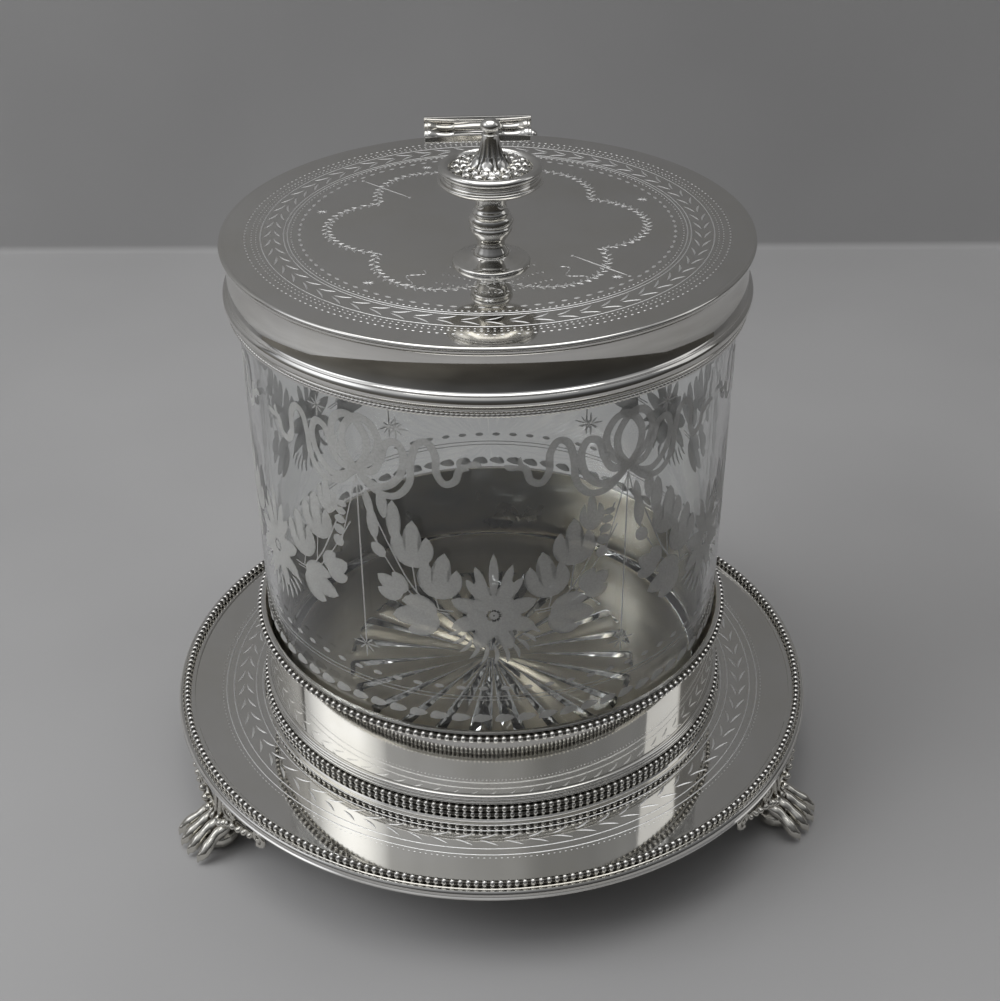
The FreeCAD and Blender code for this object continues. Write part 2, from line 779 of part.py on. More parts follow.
def finial_washer():
    """Washer that spreads the pull of the nut."""
    blank = primitive(
        "Cylinder",
        "finial_washer_blank",
        Radius="washer_radius",
        Height="washer_thick",
        Placement__Base__y="-finial_forward",
        Placement__Base__z="lid_bottom - washer_thick",
    )
    return under_lid("finial_washer", blank)


def finial_nut():
    """Hexagon nut on the screw."""
    blank = primitive(
        "Prism",
        "finial_nut_blank",
        Circumradius="nut_size",
        Height="nut_height",
        Placement__Base__y="-finial_forward",
        Placement__Base__z="lid_bottom - washer_thick - nut_height",
    )
    blank.Polygon = NUT_SIDES
    return under_lid("finial_nut", blank)


def below_table(label):
    """Block under the table, to cut a sole flat."""
    return primitive(
        "Box",
        label,
        Length="foot_reach * 2",
        Width="foot_reach * 2",
        Height="foot_reach",
        Placement__Base__x="-foot_reach",
        Placement__Base__y="-foot_reach",
        Placement__Base__z="-foot_reach",
    )


def paw_foot(side, angle):
    """Cast lion paw with its leg. It is made along +X and then turned to its place."""
    pieces = []
    for toe in range(TOES):
        place = toe - (TOES - 1) / 2
        outermost = abs(place) > 1
        pieces.append(
            primitive(
                "Ellipsoid",
                f"{side}_toe_{toe + 1}",
                Radius1="toe_height",
                Radius2="toe_length",
                Radius3="toe_width",
                Placement__Base__x="foot_reach - toe_length"
                + (" - toe_width / 2" if outermost else ""),
                Placement__Base__y=f"toe_pitch * {place}",
                Placement__Base__z="toe_height - toe_sink",
            )
        )
    pad_place = "foot_reach - toe_length - pad_length"
    pieces.append(
        primitive(
            "Ellipsoid",
            side + "_pad",
            Radius1="pad_height",
            Radius2="pad_length",
            Radius3="pad_width",
            Placement__Base__x=pad_place + " + toe_width",
            Placement__Base__z="pad_height - pad_sink",
        )
    )
    ankle = primitive(
        "Circle",
        side + "_ankle",
        Radius="leg_radius",
        Placement__Base__x=pad_place,
        Placement__Base__z="ankle_height",
    )
    knee = primitive(
        "Circle",
        side + "_knee",
        Radius="knee_radius",
        Placement__Base__x=f"( {pad_place} + tray_radius - leg_inset ) / 2",
        Placement__Base__z="( ankle_height + foot_top ) / 2",
    )
    shoulder = primitive(
        "Circle",
        side + "_shoulder",
        Radius="leg_top",
        Placement__Base__x="tray_radius - leg_inset",
        Placement__Base__z="foot_top",
    )
    leg = doc.addObject("Part::Loft", side + "_leg")
    leg.Sections = [ankle, knee, shoulder]
    leg.Solid = True
    pieces.append(leg)
    whole = joined(side + "_foot_blank", pieces)
    foot = cut("foot_" + side, whole, below_table(side + "_table"))
    foot.Placement = FreeCAD.Placement(
        FreeCAD.Vector(0, 0, 0), FreeCAD.Rotation(FreeCAD.Vector(0, 0, 1), angle)
    )
    return foot


def apron_part(label, depth, start, span):
    """Stretch of the bracket that hangs under the rim, over an angle."""
    outer = primitive("Cylinder", label + "_outer", Radius="apron_radius", Height=depth, Angle=span)
    inner = primitive("Cylinder", label + "_inner", Radius="apron_radius - apron_wall", Height=depth)
    part = cut(label, outer, inner)
    part.Placement.Rotation = FreeCAD.Rotation(FreeCAD.Vector(0, 0, 1), worth(start))
    return bind(part, Placement__Base__z="foot_top - " + depth)


def foot_bracket(side, angle):
    """Two scrolled wings that carry the paw and follow the rim of the tray."""
    halves = []
    for hand, sign in HINGE_SIDES.items():
        name = f"{side}_{hand}"
        deep_start = "leg_angle" if sign > 0 else "-apron_angle"
        wing_start = "leg_angle" if sign > 0 else "-wing_angle"
        deep = apron_part(name + "_deep", "apron_depth", deep_start, "apron_angle - leg_angle")
        wing = apron_part(name + "_wing", "wing_depth", wing_start, "wing_angle - leg_angle")
        curl = primitive(
            "Cylinder",
            name + "_curl_body",
            Radius="curl_radius",
            Height="apron_wall + 2 * curl_proud",
        )
        turn = FreeCAD.Rotation(FreeCAD.Vector(0, 0, 1), sign * size("curl_angle"))
        back = worth("apron_radius - apron_wall - curl_proud")
        lay = FreeCAD.Rotation(FreeCAD.Vector(0, 1, 0), 90)
        curl.Placement = FreeCAD.Placement(
            turn.multVec(FreeCAD.Vector(back, 0, 0)), turn.multiply(lay)
        )
        bind(curl, Placement__Base__z="foot_top - curl_radius")
        halves += [deep, wing, curl]
    bracket = joined("bracket_" + side, halves)
    bracket.Placement = FreeCAD.Placement(
        FreeCAD.Vector(0, 0, 0), FreeCAD.Rotation(FreeCAD.Vector(0, 0, 1), angle)
    )
    return bracket


def build():
    """Make every piece and give the list of those that are written out."""
    pieces = [tray(), tray_border(), tray_bead_wire(), gallery_band()]
    pieces += gallery_beads()
    pieces.append(gallery_reeds())
    for place, side in enumerate(FEET):
        angle = 90 + 360 * place / len(FEET)
        pieces.append(paw_foot(side, angle))
        pieces.append(foot_bracket(side, angle))
    pieces += [glass_jar(), plaster_bed(), mount_band(), mount_bead_wire()]
    pieces += [hinge_bracket(), hinge_pin()]
    pieces += [lid_plate(), lid_bezel(), hinge_leaf()]
    pieces += finial()
    pieces += [finial_ball(), finial_screw(), finial_washer(), finial_nut()]
    return pieces


def check(pieces):
    """Stop if any object failed, or if a piece has no valid solid."""
    doc.recompute()
    failed = [item.Label for item in doc.Objects if {"Invalid", "Error"} & set(item.State)]
    if failed:
        raise ValueError(f"objects that failed: {failed}")
    for piece in pieces:
        if piece.Shape.isNull() or not piece.Shape.isValid() or not piece.Shape.Solids:
            raise ValueError(f"no valid solid in {piece.Label}")


def write(pieces):
    """Write one STEP file for each piece, named by its label."""
    os.makedirs("parts", exist_ok=True)
    for piece in pieces:
        piece.Shape.exportStep(f"parts/{piece.Label}.step")
        box = piece.Shape.optimalBoundingBox()
        print(
            f"{piece.Label:26s} solids {len(piece.Shape.Solids)}"
            f"  volume {piece.Shape.Volume:9.1f}"
            f"  z {box.ZMin:7.2f} to {box.ZMax:7.2f}  y {box.YMin:7.2f} to {box.YMax:7.2f}"
        )


PIECES = build()
check(PIECES)
write(PIECES)
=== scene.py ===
# %% [markdown]
# A plated and glass biscuit jar on a footed tray. The metal parts are spun, cast or bent from wire and
# then silvered, and the glass is blown, cut under its bottom and engraved with a wheel. The solid frame
# comes from the model file. This script dresses it: it replaces the plain solids whose surface shows
# work that a plain solid lacks, such as beads and cast leaves, and gives every surface its finish.

# %% Frame
import math

import bpy
import numpy as np
from mathutils import Matrix, Vector


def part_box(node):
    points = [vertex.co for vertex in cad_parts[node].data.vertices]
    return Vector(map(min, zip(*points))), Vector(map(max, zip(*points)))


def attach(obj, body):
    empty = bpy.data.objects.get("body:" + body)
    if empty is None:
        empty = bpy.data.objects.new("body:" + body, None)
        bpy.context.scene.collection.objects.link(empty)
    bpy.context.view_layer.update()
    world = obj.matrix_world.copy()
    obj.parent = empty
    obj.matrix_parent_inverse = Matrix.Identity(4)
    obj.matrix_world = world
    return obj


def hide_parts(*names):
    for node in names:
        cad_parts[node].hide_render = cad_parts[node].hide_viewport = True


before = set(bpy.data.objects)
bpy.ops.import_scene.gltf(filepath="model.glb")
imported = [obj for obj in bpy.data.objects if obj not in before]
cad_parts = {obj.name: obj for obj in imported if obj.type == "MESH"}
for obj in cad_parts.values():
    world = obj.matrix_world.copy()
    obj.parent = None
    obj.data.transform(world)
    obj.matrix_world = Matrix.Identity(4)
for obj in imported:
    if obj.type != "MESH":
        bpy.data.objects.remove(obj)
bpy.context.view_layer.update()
MM = 0.001
TURN = 2 * math.pi

# %% [markdown]
# Most pieces of this jar are turned, so their sizes are best read from the frame: a turned node's box
# gives its radius, its lower and its upper edge. Reading them keeps the dressing true to the solids.

# %% Sizes from the frame
def low(node):
    """Height of the lowest point of a node."""
    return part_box(node)[0][2]


def high(node):
    """Height of the highest point of a node."""
    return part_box(node)[1][2]


def radius_of(node):
    """Half the width of a node across X."""
    lowest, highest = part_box(node)
    return (highest[0] - lowest[0]) / 2


TRAY_TOP = high("tray")
RIM_LEVEL = low("tray")
LID_TOP = high("lid_plate")
LID_RADIUS = radius_of("lid_plate")
GLASS_RADIUS = radius_of("glass_jar")
GLASS_LOW, GLASS_HIGH = low("glass_jar"), high("glass_jar")
FINIAL_Y = sum(corner[1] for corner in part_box("finial_foot")) / 2
print("tray top, lid top, glass radius:", [round(v / MM, 2) for v in (TRAY_TOP, LID_TOP, GLASS_RADIUS)])

# %% [markdown]
# Every new surface is a grid of points, worked out at once with numpy. One helper turns the grid into
# a mesh. A grid can be closed round either way, and a pole is closed with one flat face. Edges sharper
# than a given angle stay crisp, and the rest is smooth, as on polished metal.

# %% Grid meshes
def grid_faces(rows, columns, wrap_rows=False, wrap_columns=True):
    """Quads of a grid with the given number of points each way, wrapped where asked."""
    row = np.arange(rows if wrap_rows else rows - 1)
    column = np.arange(columns if wrap_columns else columns - 1)
    a, b = np.meshgrid(row, column, indexing="ij")
    next_a, next_b = (a + 1) % rows, (b + 1) % columns
    return np.stack([a * columns + b, a * columns + next_b, next_a * columns + next_b,
                     next_a * columns + b], axis=-1).reshape(-1, 4)


def grid_ends(rows, columns):
    """The two flat faces that close the first and the last row of a grid."""
    return [tuple(range(columns))[::-1], tuple(range((rows - 1) * columns, rows * columns))]


def mesh_from(name, points, quads, caps=(), sharp=35):
    """Object with the points, quads and any larger end faces, smooth but for its sharp edges."""
    points = np.asarray(points, dtype=float).reshape(-1, 3)
    faces = [tuple(face) for face in np.asarray(quads).tolist()] + [tuple(cap) for cap in caps]
    mesh = bpy.data.meshes.new(name)
    mesh.from_pydata(points.tolist(), [], faces)
    mesh.polygons.foreach_set("use_smooth", np.ones(len(mesh.polygons), dtype=bool))
    mesh.set_sharp_from_angle(angle=math.radians(sharp))
    mesh.update()
    piece = bpy.data.objects.new(name, mesh)
    bpy.context.scene.collection.objects.link(piece)
    return piece


def facing(points, quads, caps):
    """The faces turned so that they point out: a closed mesh then holds a positive volume."""
    points = np.asarray(points).reshape(-1, 3)
    a, b, c, d = (points[quads[:, i]] for i in range(4))
    volume = (np.einsum("ij,ij->i", a, np.cross(b, c)) + np.einsum("ij,ij->i", a, np.cross(c, d))).sum()
    for cap in caps:
        fan = points[list(cap)]
        volume += np.einsum("ij,ij->i", fan[:1].repeat(len(cap) - 2, 0), np.cross(fan[1:-1], fan[2:])).sum()
    if volume > 0:
        return quads, caps
    return quads[:, ::-1], [tuple(cap)[::-1] for cap in caps]


def finish_grid(name, points, wrap_rows, sharp=35):
    """Mesh of a grid (rows, columns, 3), closed round its columns, with flat ends unless wrapped."""
    rows, columns = points.shape[:2]
    quads = grid_faces(rows, columns, wrap_rows=wrap_rows)
    caps = [] if wrap_rows else grid_ends(rows, columns)
    quads, caps = facing(points, quads, caps)
    return mesh_from(name, points, quads, caps, sharp)


def joined(grids):
    """Points, quads and end faces of several closed grids, each given as (points, rows, columns)."""
    points, quads, caps, start = [], [], [], 0
    for cloud, rows, columns in grids:
        faces, ends = facing(cloud, grid_faces(rows, columns), grid_ends(rows, columns))
        points.append(cloud)
        quads.append(faces + start)
        caps += [tuple(index + start for index in end) for end in ends]
        start += len(cloud)
    return np.vstack(points), np.vstack(quads), caps


print("a grid of 3 by 4 points, closed round, has quads:", len(grid_faces(3, 4)))

# %% [markdown]
# A turned piece is a profile of radius and height carried round an axis. A profile is written as a few
# stations, and the stretches between them are either straight or a smooth curve through the stations.

# %% Turned pieces
def smooth_profile(stations, steps=6):
    """Catmull-Rom curve through the stations, with the given steps between each two."""
    p = np.asarray(stations, dtype=float)
    p = np.vstack([2 * p[0] - p[1], p, 2 * p[-1] - p[-2]])
    t = np.linspace(0, 1, steps, endpoint=False)[:, None]
    spans = [0.5 * (2 * b + (c - a) * t + (2 * a - 5 * b + 4 * c - d) * t**2
                    + (3 * b - a - 3 * c + d) * t**3) for a, b, c, d in zip(p, p[1:], p[2:], p[3:])]
    return np.vstack(spans + [p[-2:-1]])


def turned(name, profile, around=192, centre=(0.0, 0.0), closed=False, sharp=35, wobble=None):
    """Profile of (radius, height) turned about an upright axis: x = r cos a, y = r sin a, z = height.
    A wobble, a function of (radius, height, angle), gives the two back changed round the turn."""
    profile = np.asarray(profile, dtype=float)
    angle = np.linspace(0, TURN, around, endpoint=False)
    radius, height, angle = np.broadcast_arrays(profile[:, :1], profile[:, 1:], angle)
    if wobble:
        radius, height = wobble(radius, height, angle)
    points = np.stack([centre[0] + radius * np.cos(angle), centre[1] + radius * np.sin(angle), height], -1)
    return finish_grid(name, points, closed, sharp)


BEAD_ROWS, BEAD_SIDES = 7, 9


def bead_ring(name, ring, level, bead, count, flat=0.90, core=0.74):
    """Bead wire: one small ball for each bead, on a round wire through all of them. The wire has the
    second material, because the gaps between beads hold oxide that polishing never reaches."""
    angle = np.linspace(0, TURN, count, endpoint=False)
    rise = np.linspace(-0.5, 0.5, BEAD_ROWS)[:, None] * math.pi * 0.96
    spin = np.linspace(0, TURN, BEAD_SIDES, endpoint=False)[None, :]
    out, along, up = np.broadcast_arrays(np.cos(rise) * np.cos(spin), np.cos(rise) * np.sin(spin) * flat,
                                         np.sin(rise))
    ball = np.stack([out, along, up], -1).reshape(-1, 3) * bead
    turn = np.stack([np.cos(angle), np.sin(angle)], -1)
    x = turn[:, :1] * (ring + ball[:, 0]) - turn[:, 1:] * ball[:, 1]
    y = turn[:, 1:] * (ring + ball[:, 0]) + turn[:, :1] * ball[:, 1]
    points = np.stack([x, y, np.broadcast_to(level + ball[:, 2], x.shape)], -1)
    quads, ends = facing(ball, grid_faces(BEAD_ROWS, BEAD_SIDES), grid_ends(BEAD_ROWS, BEAD_SIDES))
    shift = (np.arange(count) * len(ball))[:, None, None]
    all_quads = (quads[None] + shift).reshape(-1, 4)
    caps = [tuple(index + start for index in end) for start in shift.ravel().tolist() for end in ends]
    wire = torus_points(ring, level, bead * core, 256, 8)
    wire_quads, _ = facing(wire, grid_faces(8, 256, wrap_rows=True), [])
    all_points = np.vstack([points.reshape(-1, 3), wire.reshape(-1, 3)])
    wire = mesh_from(name, all_points, np.vstack([all_quads, wire_quads + count * len(ball)]), caps, 60)
    slots = np.zeros(len(wire.data.polygons), dtype=np.int32)
    slots[len(all_quads):len(all_quads) + len(wire_quads)] = 1
    wire.data.polygons.foreach_set("material_index", slots)
    return wire


def torus_points(ring, level, wire, around, section):
    """Points of a round wire bent to a ring, section by section."""
    angle = np.linspace(0, TURN, around, endpoint=False)[None, :]
    turn = np.linspace(0, TURN, section, endpoint=False)[:, None]
    radius = ring + wire * np.cos(turn)
    return np.stack([radius * np.cos(angle), radius * np.sin(angle),
                     level + wire * np.sin(turn) + 0 * angle], -1)


print("beads are grids of", BEAD_ROWS, "by", BEAD_SIDES, "points")

# %% [markdown]
# Silver plate is nearly a mirror, so most of what is seen on it is what stands round it. What makes it
# look real is fine: hair lines from polishing cloths, a slow change of roughness where it was handled,
# and dark in the hollows of the cast parts. Node sums are written as Python sums with a small class.

# %% Shader sums
MIX_A, MIX_B, MIX_RESULT = 6, 7, 2


class Sum:
    """A node's output socket, with the operators that add Math nodes for it."""

    def __init__(self, tree, socket):
        self.tree = tree
        self.socket = socket

    def math(self, operation, *others, reverse=False):
        """One Math node of this socket and the others, in order, or turned round."""
        terms = [self, *others][::-1] if reverse else [self, *others]
        return node(self.tree, "ShaderNodeMath", {"operation": operation},
                    {place: term for place, term in enumerate(terms)})

    def __add__(self, other):
        return self.math("ADD", other)

    def __sub__(self, other):
        return self.math("SUBTRACT", other)

    def __rsub__(self, other):
        return self.math("SUBTRACT", other, reverse=True)

    def __mul__(self, other):
        return self.math("MULTIPLY", other)

    __radd__ = __add__
    __rmul__ = __mul__

    def clear(self, start, finish):
        """0 below start and 1 above finish, with a straight ramp between."""
        return node(self.tree, "ShaderNodeMapRange", {"clamp": True},
                    {"Value": self, "From Min": start, "From Max": finish})


def node(tree, kind, settings=None, inputs=None, output=0):
    """New node: its settings first, a colour ramp's stops among them, then its sockets."""
    made = tree.nodes.new(kind)
    for key, value in (settings or {}).items():
        if key == "stops":
            ramp = made.color_ramp.elements
            while len(ramp) < len(value):
                ramp.new(0.5)
            for element, (place, colour) in zip(ramp, value):
                element.position = place
                element.color = colour
        else:
            setattr(made, key, value)
    for key, value in (inputs or {}).items():
        socket = made.inputs[key]
        if isinstance(value, Sum):
            tree.links.new(value.socket, socket)
        else:
            socket.default_value = value
    return Sum(tree, made.outputs[output])


def new_material(name, sockets):
    """Material with one Principled shader whose constants are set on its own sockets."""
    material = bpy.data.materials.new(name)
    material.use_nodes = True
    shader = material.node_tree.nodes["Principled BSDF"]
    for key, value in sockets.items():
        shader.inputs[key].default_value = value
    return material, material.node_tree, shader


def feed(tree, shader, **sums):
    """Join sums to the shader's sockets. An underscore in a name stands for a space."""
    for key, value in sums.items():
        tree.links.new(value.socket, shader.inputs[key.replace("_", " ")])


def place(tree):
    """Position on the piece, in metres, as its own coordinates give it."""
    return node(tree, "ShaderNodeTexCoord", output="Object")


def noise(tree, where, scale, detail=3.0, rough=0.55, stretch=(1, 1, 1)):
    """Soft random pattern, finer with a larger scale and longer where the stretch is small."""
    laid = node(tree, "ShaderNodeMapping", {}, {"Vector": where, "Scale": stretch})
    return node(tree, "ShaderNodeTexNoise", {}, {"Vector": laid, "Scale": scale, "Detail": detail,
                                                 "Roughness": rough})


def blend(tree, amount, first, second):
    """Colour between two by an amount from 0 to 1. Each is a sum, or red, green and blue."""
    first, second = (colour if isinstance(colour, Sum) else (*colour, 1) for colour in (first, second))
    return node(tree, "ShaderNodeMix", {"data_type": "RGBA"},
                {"Factor": amount, MIX_A: first, MIX_B: second}, MIX_RESULT)


def bump(tree, height, distance, strength=1.0):
    """Normal tilted by a height in metres."""
    return node(tree, "ShaderNodeBump", {}, {"Height": height, "Distance": distance, "Strength": strength})


# %% [markdown]
# Three silver finishes are used. Sheet silver is a clean mirror with wear lines. Cast silver keeps
# oxide in its hollows. How deep a point lies is measured on the mesh and stored with it as a number
# named hollow, so the darkening goes wherever the mesh goes. Cut silver is the bright burr of engraving.

# %% Silver
SILVER = (0.80, 0.79, 0.765)
WARM_SILVER = (0.75, 0.735, 0.69)
HAIR_DEPTH = 0.002 * MM


def sheet_silver(name):
    """Polished silver plate with hair lines, faint handling marks and a warm cloud of tarnish."""
    material, tree, shader = new_material(name, {"Metallic": 1.0, "Roughness": 0.06})
    where = place(tree)
    cloud = noise(tree, where, 28.0, 4.0)
    hair = noise(tree, where, 900.0, 2.0, 0.6, (1.0, 0.06, 1.0))
    cross = noise(tree, where, 800.0, 2.0, 0.6, (0.07, 1.0, 1.0))
    scratch = hair.clear(0.60, 0.74) + cross.clear(0.62, 0.76)
    feed(tree, shader,
         Base_Color=blend(tree, cloud.clear(0.38, 0.72), SILVER, WARM_SILVER),
         Roughness=cloud * 0.07 + scratch * 0.05 + 0.015,
         Normal=bump(tree, hair + cross, HAIR_DEPTH, 0.35))
    return material

# %% [markdown]
# A casting is never as even as rolled sheet. Its skin has pits, and the polishing wheel can't reach its
# hollows, which stay dark with oxide. The colour could follow a texture, but the number that was stored
# on the mesh is better, because it knows where the real hollows are.

# %% Cast silver
def cast_silver(name, bright, dark, grain=1500.0):
    """Cast and silvered metal: polished where it was rubbed, dark with oxide between."""
    material, tree, shader = new_material(name, {"Metallic": 1.0, "Roughness": 0.2})
    where = place(tree)
    patch = noise(tree, where, 260.0, 4.0, 0.6)
    pits = noise(tree, where, grain, 2.0)
    hollow = node(tree, "ShaderNodeAttribute", {"attribute_name": "hollow"}, {}, "Fac")
    oxide = (patch * 0.5 + hollow).clear(0.30, 0.85)
    feed(tree, shader,
         Base_Color=blend(tree, oxide, bright, dark),
         Roughness=oxide * 0.22 + pits * 0.08 + 0.10,
         Normal=bump(tree, pits + patch * 2.0, 0.00004, 0.5))
    return material

# %% [markdown]
# The simple finishes share one maker: a colour with a darker grain, a roughness and a fine bump. Oxide,
# cut silver, white metal, plaster and the frosted cuts in glass differ only in their numbers.

# %% Simple finishes
def plain(name, colour, metallic, roughness, scale=400.0, depth=0.00002):
    """Simple even finish with a fine grain."""
    material, tree, shader = new_material(name, {"Metallic": metallic, "Roughness": roughness})
    where = place(tree)
    grain = noise(tree, where, scale, 3.0)
    darker = tuple(0.82 * part for part in colour)
    feed(tree, shader,
         Base_Color=blend(tree, grain.clear(0.3, 0.7), colour, darker),
         Roughness=grain * 0.12 + (roughness - 0.06),
         Normal=bump(tree, grain, depth, 0.5))
    return material

# %% [markdown]
# Clear glass needs its true index of refraction, 1.5, more than it needs any colour. Old blown glass has
# slow swirls, so a soft wide bump bends what is seen through it a little.

# %% Clear glass
def clear_glass():
    """Soda glass, faintly grey, with a trace of swirl on its surface."""
    material, tree, shader = new_material("jar_glass", {
        "Base Color": (0.965, 0.975, 0.97, 1), "Roughness": 0.0, "IOR": 1.5,
        "Transmission Weight": 1.0, "Specular IOR Level": 0.5})
    where = place(tree)
    swirl = noise(tree, where, 22.0, 1.0, 0.4, (1.0, 1.0, 0.35))
    feed(tree, shader, Normal=bump(tree, swirl, 0.0004, 0.12))
    return material

# %% [markdown]
# Under the loose glass no cloth ever rubs, so the silver there has turned a warm brown and dull. That
# brown is also painted much lighter than real tarnish. This is painted light, standing in for the light
# that comes in through the glass. The distance from the middle of the tray, read from the piece's own
# coordinates, says where that is.

# %% Tarnish and painted light under the glass
# Tarnish brown painted much lighter than real tarnish: painted light for the light through the glass.
TARNISH_AND_PAINTED_LIGHT = (0.93, 0.81, 0.61)


def inner_tarnish_and_painted_light(name, reach):
    """Sheet silver that turns brown inside a radius: no cloth gets in under the loose glass. The brown
    is painted lighter than real tarnish, as painted light for the light that comes through the glass.
    """
    material = sheet_silver(name)
    tree = material.node_tree
    shader = tree.nodes["Principled BSDF"]
    clean = Sum(tree, shader.inputs["Base Color"].links[0].from_socket)
    where = place(tree)
    flat = node(tree, "ShaderNodeVectorMath", {"operation": "MULTIPLY"}, {0: where, 1: (1, 1, 0)})
    away = node(tree, "ShaderNodeVectorMath", {"operation": "LENGTH"}, {0: flat}, "Value")
    level = node(tree, "ShaderNodeSeparateXYZ", {}, {0: where}, "Z")
    cloud = noise(tree, where, 60.0, 3.0)
    inside = 1.0 - (away + cloud * 0.0008).clear(reach - 0.0002, reach + 0.0004)
    inside = inside * level.clear(TRAY_TOP - 0.6 * MM, TRAY_TOP - 0.3 * MM)
    # Blend in the tarnish brown, which is painted lighter as painted light under the glass.
    brown = blend(tree, inside * (cloud * 0.5 + 0.55), clean, TARNISH_AND_PAINTED_LIGHT)
    rough = Sum(tree, shader.inputs["Roughness"].links[0].from_socket)
    feed(tree, shader, Base_Color=brown, Roughness=rough + inside * 0.42)
    return material


# %% [markdown]
# Each finish is made once and shared by all the pieces that have it, as one maker's bench would give
# them. The frosted cuts let some light through, so their alpha is below 1. Nothing is stored as hollow
# on the finial, so only soft patches darken it.

# %% Materials
PLATE = sheet_silver("sheet_silver")
GALLERY = inner_tarnish_and_painted_light("gallery_silver", radius_of("gallery_top_bead") - 2.5 * MM)
CAST = cast_silver("cast_silver", (0.76, 0.74, 0.68), (0.07, 0.06, 0.045))
FINIAL = cast_silver("finial_silver", (0.74, 0.73, 0.70), (0.10, 0.09, 0.07))
OXIDE = plain("bead_oxide", (0.10, 0.095, 0.085), 1.0, 0.35, 1200.0)
CUT = plain("cut_silver", (0.95, 0.95, 0.94), 1.0, 0.42, 2000.0)
WHITE_METAL = plain("white_metal", (0.55, 0.55, 0.53), 1.0, 0.38)
PLASTER = plain("old_plaster", (0.66, 0.56, 0.33), 0.0, 0.85, 900.0, 0.0002)
GLASS = clear_glass()
FROST = plain("wheel_frost", (0.66, 0.655, 0.63), 0.0, 0.6, 1800.0, 0.00003)
FROST.node_tree.nodes["Principled BSDF"].inputs["Alpha"].default_value = 0.54
print("materials made:", len(bpy.data.materials))


# %% [markdown]
# A new piece has to ride on a moving body, wear its finish and hide the plain solid that it stands for.
# One function does all three. Solids that keep their own shape only get a finish.

# %% Dressing the pieces
def dress(piece, material):
    """Give a piece one material."""
    piece.data.materials.clear()
    piece.data.materials.append(material)
    return piece


def stands_for(piece, body, material, slot, *nodes):
    """Make a new piece ride on a body, wear a material and take the place of nodes."""
    dress(piece, material)
    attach(piece, body)
    if nodes:
        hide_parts(*nodes)
    return piece


for label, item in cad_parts.items():
    dress(item, PLATE)
for label in ("finial_screw", "finial_washer", "finial_nut"):
    dress(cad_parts[label], WHITE_METAL)
dress(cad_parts["plaster_bed"], PLASTER)

# %% [markdown]
# Bead wire is drawn through rollers that press a row of pearls in it. In the photo each pearl is clear
# with a dark gap beside it. A texture would lose the outline against the light, so each bead is a ball.

# %% Bead wires
for label, pitch in (("tray_bead_wire", 2.27 * MM), ("gallery_top_bead", 2.31 * MM),
                     ("gallery_upper_foot_bead", 2.31 * MM), ("gallery_lower_foot_bead", 2.31 * MM)):
    bead = (high(label) - low(label)) / 2
    ring = radius_of(label) - bead
    count = round(TURN * ring / pitch)
    wire = bead_ring(label + "_beads", ring, low(label) + bead, bead, count)
    slots = np.empty(len(wire.data.polygons), dtype=np.int32)
    wire.data.polygons.foreach_get("material_index", slots)
    stands_for(wire, "stand", PLATE, "silver_plate", label)
    wire.data.materials.append(OXIDE)
    wire.data.polygons.foreach_set("material_index", slots)
    print(label, "beads", count)

# %% [markdown]
# The wire under the mount is milled, not beaded: fine upright teeth, about 1.3 mm apart. That is one
# ring whose section swells and shrinks as it goes round.

# %% Milled wire
def milled_ring(name, ring, level, wire, teeth, depth=0.24):
    """Torus whose section radius is wire times 1 minus depth times a sharpened cosine of the angle."""
    angle = np.linspace(0, TURN, teeth * 6, endpoint=False)[None, :]
    turn = np.linspace(0, TURN, 12, endpoint=False)[:, None]
    thick = wire * (1 - depth * (0.5 + 0.5 * np.cos(angle * teeth)) ** 2)
    radius = ring + thick * np.cos(turn)
    points = np.stack([radius * np.cos(angle), radius * np.sin(angle), level + thick * np.sin(turn)], -1)
    quads, _ = facing(points, grid_faces(12, teeth * 6, wrap_rows=True), [])
    return mesh_from(name, points, quads, sharp=60)


MILLED = (high("mount_bead_wire") - low("mount_bead_wire")) / 2
mount_ring = radius_of("mount_bead_wire") - MILLED
milled = milled_ring("mount_milled_wire", mount_ring, low("mount_bead_wire") + MILLED, MILLED, 365)
stands_for(milled, "jar", PLATE, "silver_plate", "mount_bead_wire")
print("milled wire faces", len(milled.data.polygons))

# %% [markdown]
# The glass is a plain cylinder, but under its bottom a star is cut: wedge-shaped grooves that run from
# near the centre towards the edge. They catch the light through the jar. The whole glass is one closed
# profile turned round, and only the rings of its underside are pushed up where a groove passes.

# %% Glass with a star cut bottom
GLASS_WALL = 3.2 * MM
GLASS_BASE = 8.5 * MM
STAR_RAYS = 24
STAR_REACH = 47.0 * MM
STAR_DEPTH = 2.4 * MM


def star_wobble(radius, height, angle):
    """Lift the underside by a V across each ray: from 2 mm out, full at 12 mm, steep at the reach."""
    across = np.abs(((angle * STAR_RAYS / TURN) % 1.0) - 0.5) * 2
    groove = np.clip(1.0 - across * 1.25, 0, 1)
    start = np.clip((radius - 2 * MM) / (10 * MM), 0, 1)
    end = np.clip((STAR_REACH - radius) / (1.5 * MM), 0, 1)
    under = height < GLASS_LOW + 0.2 * MM
    return radius, height + under * STAR_DEPTH * groove * start * end


